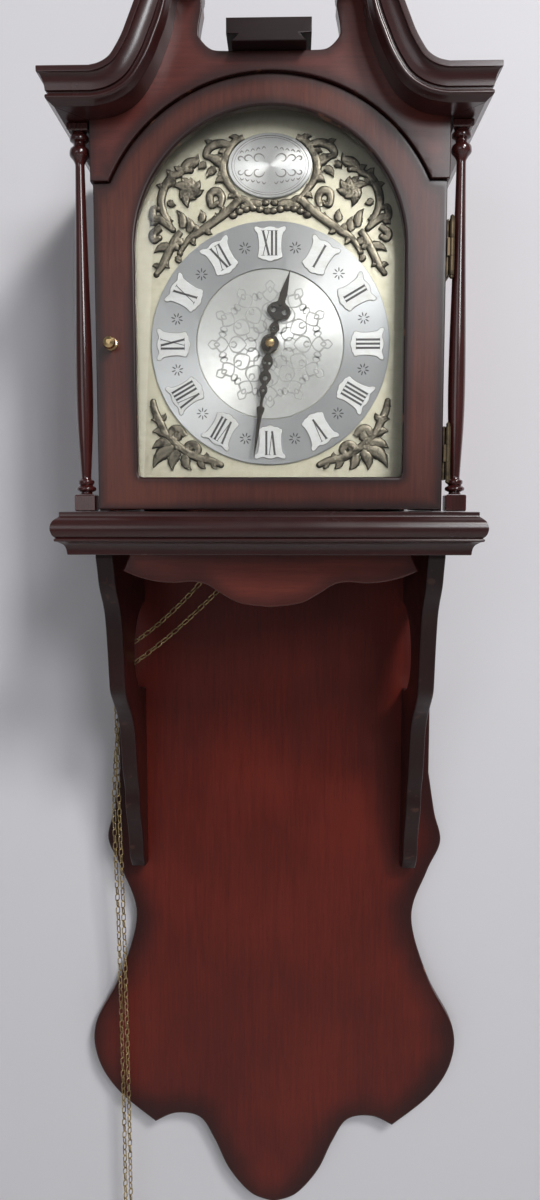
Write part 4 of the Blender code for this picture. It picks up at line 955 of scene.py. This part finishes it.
SWAG = [(2.2, 217.6), (7.4, 218.6), (12.5, 219.6), (17.5, 218.8), (22.2, 217.2), (3.4, 223.2), (27, 214.4)]
LOWER_SCROLLS = [
    [(85.6, 81.5), (84.3, 74.3), (80.7, 66.4), (77.9, 59.9), (73.6, 54.1), (66, 46.6)],
    [(35, 34.6), (42.8, 37.9), (51.7, 39.6), (60.5, 44), (67.7, 49.8), (73, 56)],
    [(62, 56), (66, 60.8), (71, 60.8), (72.6, 56), (69.4, 53.4)],
    [(56, 40), (52.5, 45.6), (55.6, 49.6), (60.4, 49), (60.6, 45)]]
LOWER_LEAVES = [
    ((72, 50), (87, 46.8), 3.6), ((70, 47), (86.2, 32.3), 4.2), ((67, 45), (71.6, 30.4), 3.6),
    ((62, 42), (57.4, 30.8), 3.2), ((64, 47), (55.0, 50.3), 3.0), ((70, 52), (68.4, 64.4), 3.0),
    ((77, 57), (86.6, 59.2), 3.0), ((80, 66), (87.6, 68), 2.3), ((51, 39), (46.5, 31.8), 2.4),
    ((81, 68), (76.4, 73), 2.2), ((48, 38.6), (46, 44.4), 2.1), ((84, 75), (88.4, 77.6), 1.8),
    ((41, 37), (38, 31.6), 1.9)]
LOWER_BEADS = [(85.6, 81.4), (82.6, 70.4), (35.2, 34.6), (46.6, 38.4), (69.6, 50.6), (76, 57)]


def casting(verts, faces, sign, shift, scrolls, leaves):
    """Lay scrolls that curl and taper, and leaves with a sunk vein and lobed edges."""
    for scroll in scrolls:
        route = [(sign * (x + shift), z) for x, z in smooth_curve(scroll, 7)]
        stroke(verts, faces, route, lambda t: 1.3 + 1.9 * sin(pi * min(1.0, t * 0.8 + 0.15)), FLOOR, MID,
               0.7, 0.35)
        dome(verts, faces, route[-1], 2.4, FLOOR, -145.45)
    for root, tip, half_width in leaves:
        reach = Vector((tip[0] - root[0], tip[1] - root[1]))
        side = Vector((-reach.y, reach.x)) * 0.16
        route = []
        for k in range(13):
            t = k / 12
            bend = sin(pi * t)
            route.append((sign * (root[0] + shift + reach.x * t + side.x * bend),
                          root[1] + reach.y * t + side.y * bend))
        stroke(verts, faces, route, lambda t: 1.25 * half_width * (sin(pi * (0.12 + 0.88 * t) ** 0.8)
                                                           + 0.16 * sin(9.5 * pi * t) * (1 - t)),
               FLOOR, MID + 0.2, 0.75, 0.4)


for side, sign in (("left", -1), ("right", 1)):
    verts, faces = [], []
    casting(verts, faces, sign, 2.0, UPPER_SCROLLS, UPPER_LEAVES)
    petals = [(FLOWER, petal, 3.1) for petal in PETALS]
    casting(verts, faces, sign, 2.0, [], petals)
    dome(verts, faces, (sign * (FLOWER[0] + 2), FLOWER[1]), 3.3, FLOOR, -145.5)
    for x, z in SWAG:
        dome(verts, faces, (sign * x, z), 2.6, FLOOR, -145.4, 1.3)
    lay("upper_casting_" + side, verts, faces, CASTING, "spandrel_upper_" + side,
        smooth=60)
    verts, faces = [], []
    casting(verts, faces, sign, 1.5, LOWER_SCROLLS, LOWER_LEAVES)
    for x, z in LOWER_BEADS:
        dome(verts, faces, (sign * (x + 1.5), z), 2.3, FLOOR, -145.5)
    dome(verts, faces, (sign * 70.0, 47.5), 4.0, FLOOR, -145.5)
    lay("lower_casting_" + side, verts, faces, CASTING, "spandrel_lower_" + side,
        smooth=60)

# ---------------------------------------------------------------- chapter ring
# A silvered ring brushed round and round, with twelve raised cartouches that carry black Roman numerals
# and an eight-rayed star engraved between each two.
RING_SILVER = silvering("silvered ring", HANDS, (0.325, 0.328, 0.328))
CARTOUCHE_SILVER = metal("silvered cartouche", (0.50, 0.50, 0.49), (0.42, 0.40, 0.35), 0.35, 0.36,
                         (60, 60, 1200), metallic=0.4, streaks=0.2, bump=0.06)
BLACK_WAX = metal("black wax", (0.035, 0.033, 0.032), (0.07, 0.065, 0.06), 0.4, 0.5, (800, 800, 800),
                  metallic=0.0, streaks=0.2)


def around(t, r, angle):
    """A place a distance r from the hands' arbor at a clock angle in degrees, t to its clockwise side."""
    a = radians(angle)
    return HANDS[0] + r * sin(a) + t * cos(a), HANDS[1] + r * cos(a) - t * sin(a)


def annulus(verts, faces, section, steps=144):
    """Add a ring of revolution about the hands' arbor from a closed section (radius, y)."""
    rings = []
    for k in range(steps):
        turn = 360 * k / steps
        ring = []
        for radius, y in section:
            x, z = around(0, radius, turn)
            ring.append((x, y, z))
        rings.append(ring)
    skin(verts, faces, rings, closed=True)


verts, faces = [], []
annulus(verts, faces, [(54.4, DIAL_FACE), (54.4, -144.5), (54.7, RING_FACE), (87.5, RING_FACE),
                       (87.8, -144.5), (87.8, DIAL_FACE)])
lay("brushed_ring", verts, faces, RING_SILVER, "chapter_ring", smooth=20)
SHIELD = [(0, 83.6), (2.6, 83.2), (4.2, 82.4), (6.0, 82.2), (8.4, 83.2), (10.6, 83.6), (11.5, 82.6),
          (11.1, 80.6), (9.6, 79.2), (8.8, 76.5), (8.2, 72), (8.1, 68), (8.5, 65), (9.0, 63.4), (8.6, 61.8),
          (6.8, 61.2), (5.6, 60.2), (3.0, 60.0), (1.6, 59.2), (0, 58.9)]
NUMERALS = ["XII", "I", "II", "III", "IIII", "V", "VI", "VII", "VIII", "IX", "X", "XI"]
FOOT, HEAD, CAP = 63.2, 80.6, 0.35
WIDTHS = {"I": 3.0, "V": 5.6, "X": 5.8}
plates, plate_faces = [], []
marks, mark_faces = [], []
shadows, shadow_faces = [], []
for hour, numeral in enumerate(NUMERALS):
    angle = 30 * hour
    outline = [around(t, r, angle) for t, r in mirrored(smooth_curve(SHIELD, 3))]
    slab(plates, plate_faces, outline, RING_FACE, -145.35, 0.3)
    # A dark stroke round each cartouche's outline is painted shadow, standing for the shade at the plate's
    # raised edge.
    stroke(shadows, shadow_faces, outline + outline[:1], 0.32, RING_FACE, -144.95)
    total = sum(WIDTHS[letter] for letter in numeral)
    left = -total / 2
    for letter in numeral:
        wide = WIDTHS[letter]
        middle = left + wide / 2
        reach = wide / 2 - 0.75
        bars = {"I": [(0, 0, 0.82)],
                "V": [(-reach, 0, 0.80), (reach, 0, 0.28)],
                "X": [(-reach, reach, 0.80), (reach, -reach, 0.28)]}[letter]
        for top, foot, half_width in bars:
            route = [around(middle + foot, FOOT, angle), around(middle + top, HEAD, angle)]
            stroke(marks, mark_faces, route, half_width, -145.3, -145.52)
        for r in (FOOT, HEAD):
            places = [0.0] if letter == "I" else [-reach, reach]
            if letter == "V" and r == FOOT:
                places = []
            for place in places:
                route = [around(middle + place - 1.25, r, angle), around(middle + place + 1.25, r, angle)]
                stroke(marks, mark_faces, route, CAP / 2, -145.3, -145.5)
        left += wide
    for k in range(8):
        turn = radians(45 * k)
        route = []
        for reach in (1.5, 2.5, 3.6, 4.4):
            route.append(around(reach * sin(turn), 71 + reach * cos(turn), angle + 15))
        stroke(marks, mark_faces, route, lambda t: 0.14 + 0.34 * sin(pi * (0.1 + 0.8 * t)), RING_FACE,
               -144.78)
lay("cartouches", plates, plate_faces, CARTOUCHE_SILVER)
# The dark outlines round the cartouches are painted shadow.
lay("cartouche_painted_shadow", shadows, shadow_faces, ENGRAVED_AND_SHADOW)
lay("numerals_and_stars", marks, mark_faces, BLACK_WAX)

# ---------------------------------------------------------------- dial centre
# A pale silvered disc inside the ring, matted and etched with a twelve-pointed filigree rosette.
CENTRE_SILVER = silvering("matted silver centre", HANDS, (0.50, 0.50, 0.48))
ETCHED = metal("etched silver", (0.30, 0.30, 0.285), (0.22, 0.215, 0.20), 0.5, 0.45, (900, 900, 900),
               metallic=0.0, bump=0.2, shader={"Specular IOR Level": 0.3})
verts, faces, rings = [], [], []
for radius, y in ((53.9, DIAL_FACE), (53.9, -143.9), (53.6, -144.08), (30.0, -144.1), (7.0, -144.1),
                  (7.0, DIAL_FACE)):
    rings.append(oval(HANDS, radius, radius, y, 120))
skin(verts, faces, rings, closed=True)
lay("etched_centre", verts, faces, CENTRE_SILVER, "dial_centre", smooth=12)
PETAL_LINES = [
    [(0, 46.0), (3.0, 43.0), (2.6, 39.5), (5.4, 36.5), (3.6, 33), (0, 30.5)],
    [(0, 30.5), (4.6, 28.0), (5.8, 23.5), (3.0, 19.5), (0, 17.5)],
    [(5.2, 36.0), (8.2, 37.5), (9.5, 34.6), (7.2, 32.4), (5.6, 34.0)],
    [(0, 24.5), (2.0, 26.5), (1.2, 29)],
    [(2.9, 18.8), (5.0, 14.5), (2.6, 11.0), (0, 10.2)],
    [(0, 41.5), (1.5, 39.5), (0, 37.0)]]
verts, faces = [], []
for point in range(12):
    for line in PETAL_LINES:
        for sign in (-1, 1):
            route = [around(sign * t, r, 30 * point) for t, r in smooth_curve(line, 5)]
            stroke(verts, faces, route, lambda t: 0.38 + 0.35 * sin(pi * t), -144.0, -144.16)
lay("etched_rosette", verts, faces, ETCHED)

# ---------------------------------------------------------------- hands
# Pierced serpentine hands of blackened bronze plate, sawn out and filed: the hour hand is friction fitted on
# its pipe, the minute hand seats on the square and is held by a brass collet nut.
BRONZE = metal("blackened bronze", (0.032, 0.026, 0.020), (0.012, 0.011, 0.010), 0.6, 0.30, (900, 900, 900),
               metallic=0.4, streaks=0.4, bump=0.15)
HOUR_ANGLE, MINUTE_ANGLE = 15.7, 188.2


def circle(t, r, radius, steps=24):
    turns = [2 * pi * k / steps for k in range(steps)]
    return [(t + radius * cos(a), r + radius * sin(a)) for a in turns]


def sawn_plate(name, loops, low, high, angle):
    """A flat hand from loops (t, r) about its hub, the first its outline and the others its piercings."""
    sketch = bpy.data.curves.new(name, "CURVE")
    sketch.dimensions = "2D"
    sketch.fill_mode = "BOTH"
    sketch.extrude = (low - high) / 2 - 0.15
    sketch.bevel_depth = 0.15
    for loop in loops:
        spline = sketch.splines.new("POLY")
        spline.points.add(len(loop) - 1)
        for spot, (t, r) in zip(spline.points, loop):
            spot.co = (t, r, 0, 1)
        spline.use_cyclic_u = True
    holder = bpy.data.objects.new(name + "_sketch", sketch)
    bpy.context.scene.collection.objects.link(holder)
    bpy.context.view_layer.update()
    solid = bpy.data.meshes.new_from_object(holder.evaluated_get(bpy.context.evaluated_depsgraph_get()))
    verts = []
    for v in solid.vertices:
        x, z = around(v.co.x, v.co.y, angle)
        verts.append((x, (low + high) / 2 - v.co.z, z))
    faces = [tuple(face.vertices) for face in solid.polygons]
    bpy.data.objects.remove(holder)
    return verts, faces


half = smooth_curve([(2.2, 5.9), (1.5, 7.2), (2.6, 9.3), (3.7, 11.6), (2.8, 14.2), (1.2, 16.4), (1.4, 18.2),
                     (4.6, 19.6), (8.2, 22.0), (8.4, 25.6), (6.0, 28.9), (3.4, 30.4), (2.4, 32.6), (2.6, 36),
                     (2.0, 41), (1.0, 47.5), (0, 53.9)], 5)
hub = arc((0, 0), 6.25, 70, -90, 20)
outline = mirrored(list(reversed(half)) + hub)
piercings = [circle(0, 11.6, 1.5), circle(4.3, 24.3, 2.1), circle(-4.3, 24.3, 2.1), circle(0, 27.9, 1.0),
             circle(0, 0, 3.9)]
hour_verts, hour_faces = sawn_plate("hour_hand", [outline] + piercings, -146.0, -147.2, HOUR_ANGLE)
lay("pierced_hour_hand", hour_verts, hour_faces, BRONZE, "hour_hand",
    body="hour_pipe", smooth=40)
half = smooth_curve([(2.0, 6.0), (1.4, 8.0), (3.4, 11.0), (4.1, 14.5), (2.6, 18.0), (1.5, 19.8), (3.6, 22.2),
                     (4.3, 25.4), (2.6, 29.0), (1.4, 30.4), (2.6, 32.2), (2.9, 34.6), (1.5, 38.0), (0.95, 41),
                     (1.0, 45.5), (2.7, 47.2), (2.2, 50.5), (1.5, 54), (1.1, 62), (0.8, 72), (0, 82.6)], 5)
hub = arc((0, 0), 6.3, 72, -90, 20)
outline = mirrored(list(reversed(half)) + hub)
piercings = [circle(1.75, 14.5, 1.05), circle(-1.75, 14.5, 1.05), circle(0, 25.4, 1.9),
             circle(0, 34.4, 1.1), circle(0, 0, 2.5)]
minute_verts, minute_faces = sawn_plate("minute_hand", [outline] + piercings, -149.0, -150.2, MINUTE_ANGLE)
lay("pierced_minute_hand", minute_verts, minute_faces, BRONZE, "minute_hand",
    body="minute_arbor", smooth=40)
BRIGHT_BRASS = metal("polished brass", (0.80, 0.58, 0.30), (0.35, 0.22, 0.10), 0.5, 0.17, (500, 500, 500),
                     streaks=0.2, bump=0.05)
cover("hand_nut", BRIGHT_BRASS)

# ---------------------------------------------------------------- door
# A mahogany frame with an arched head, one board thick, its edges eased and darkened with painted shade, which
# stands for the dark gap round the door and the shaded lip of its opening; a pane of clear glass lies in its
# rabbet, a small turned brass knob stands at the left, and two butt hinges hold the right.
# The edge darkening given to this door's wood is painted shade, standing for the dark gap round the door and
# the shaded eased lip of its opening.
DOOR_WOOD = wood("door mahogany", (0.125, 0.030, 0.017), (0.070, 0.016, 0.011), UPRIGHT, 0.34,
                 toner_and_shade=(0.009, 0.9), wear=0.6)
HEAD_STEPS = 64
DOOR_HALF, DOOR_LOW, DOOR_SHOULDER = 124.7, 1.5, 230.4
DOOR_ARCH = 123.6
OPENING_HALF, OPENING_LOW, OPENING_CENTRE = 95.7, 25.0, 186.0
DOOR_FACE, REBATE_FACE, DOOR_BACK = -166.0, -158.5, -154.0


def door_edge(inset):
    """The door's outer edge, moved in by a distance."""
    wide, low = DOOR_HALF - inset, DOOR_LOW + inset
    shoulder = DOOR_SHOULDER - inset
    start = degrees(asin((DOOR_SHOULDER - ARCH_CENTRE) / DOOR_ARCH))
    corners = [(-wide, 20), (-wide, low + 0.3), (-wide + 0.3, low), (-90, low), (90, low), (wide - 0.3, low),
               (wide, low + 0.3), (wide, 20), (wide, shoulder)]
    head = arc((0, ARCH_CENTRE), DOOR_ARCH - inset, start, 180 - start, HEAD_STEPS)
    return corners + head + [(-wide, shoulder)]


def door_opening(grow):
    """The arched opening with small round lower corners, grown by a distance, with as many points."""
    wide, low = OPENING_HALF + grow, OPENING_LOW - grow
    corner = [(wide - 4, low), (wide - 1.4, low + 0.5), (wide - 0.6, 26.4), (wide, 29)]
    corners = [(-x, z) for x, z in reversed(corner)] + corner + [(wide, 150)]
    return corners + arc((0, OPENING_CENTRE), wide, 0, 180, HEAD_STEPS) + [(-wide, 150)]


door_rings = []
eased_outer, eased_inner = door_edge(1.0), door_opening(1.6)
for share in (0.0, 0.05, 0.12, 0.22, 0.35, 0.5, 0.65, 0.78, 0.88, 0.95, 1.0):
    door_rings.append([(a[0] + (b[0] - a[0]) * share, DOOR_FACE, a[1] + (b[1] - a[1]) * share)
                       for a, b in zip(eased_outer, eased_inner)])
for y, loop in ((DOOR_FACE + 0.3, door_opening(0.7)), (DOOR_FACE + 1.0, door_opening(0.15)),
                (DOOR_FACE + 1.8, door_opening(0.0)), (REBATE_FACE, door_opening(0.0)),
                (REBATE_FACE, door_opening(3.0)), (DOOR_BACK, door_opening(3.0)), (DOOR_BACK, door_edge(0.0)),
                (DOOR_FACE + 0.8, door_edge(0.0)), (DOOR_FACE + 0.2, door_edge(0.3))):
    door_rings.append([(x, y, z) for x, z in loop])
verts, faces = [], []
skin(verts, faces, door_rings, closed=True)
door = lay("arched_door_frame", verts, faces, DOOR_WOOD, "door_frame",
           body="door", smooth=40)
flat = np.array([(v[0], v[2]) for v in verts])
note_rim(door.data, to_nearest(flat, [door_edge(0.0), door_opening(0.0)]))
evened(door)

GLASS = bpy.data.materials.new("clear glass")
GLASS.use_nodes = True
pane = GLASS.node_tree
clear = pane.nodes["Principled BSDF"]
clear.inputs["Base Color"].default_value = (0.98, 0.99, 0.985, 1)
clear.inputs["Roughness"].default_value = 0.0
clear.inputs["IOR"].default_value = 1.45
clear.inputs["Transmission Weight"].default_value = 1.0
through = node(pane, "BsdfTransparent", {}, {})
ray = node(pane, "LightPath", {}, {})
either = node(pane, "MixShader", {},
              {0: ray.outputs["Is Shadow Ray"], 1: clear.outputs[0], 2: through.outputs[0]})
pane.links.new(either.outputs[0], pane.nodes["Material Output"].inputs["Surface"])
cover("door_glass", GLASS)
cover("door_knob", BRIGHT_BRASS)
HINGE_BRASS = metal("blackened brass", (0.13, 0.095, 0.055), (0.035, 0.028, 0.022), 0.7, 0.4, (600, 600, 600),
                    metallic=0.8, bump=0.15)
for level in ("upper", "lower"):
    for part in ("door_leaf", "hood_leaf", "pin"):
        cover("hinge_" + level + "_" + part, HINGE_BRASS)
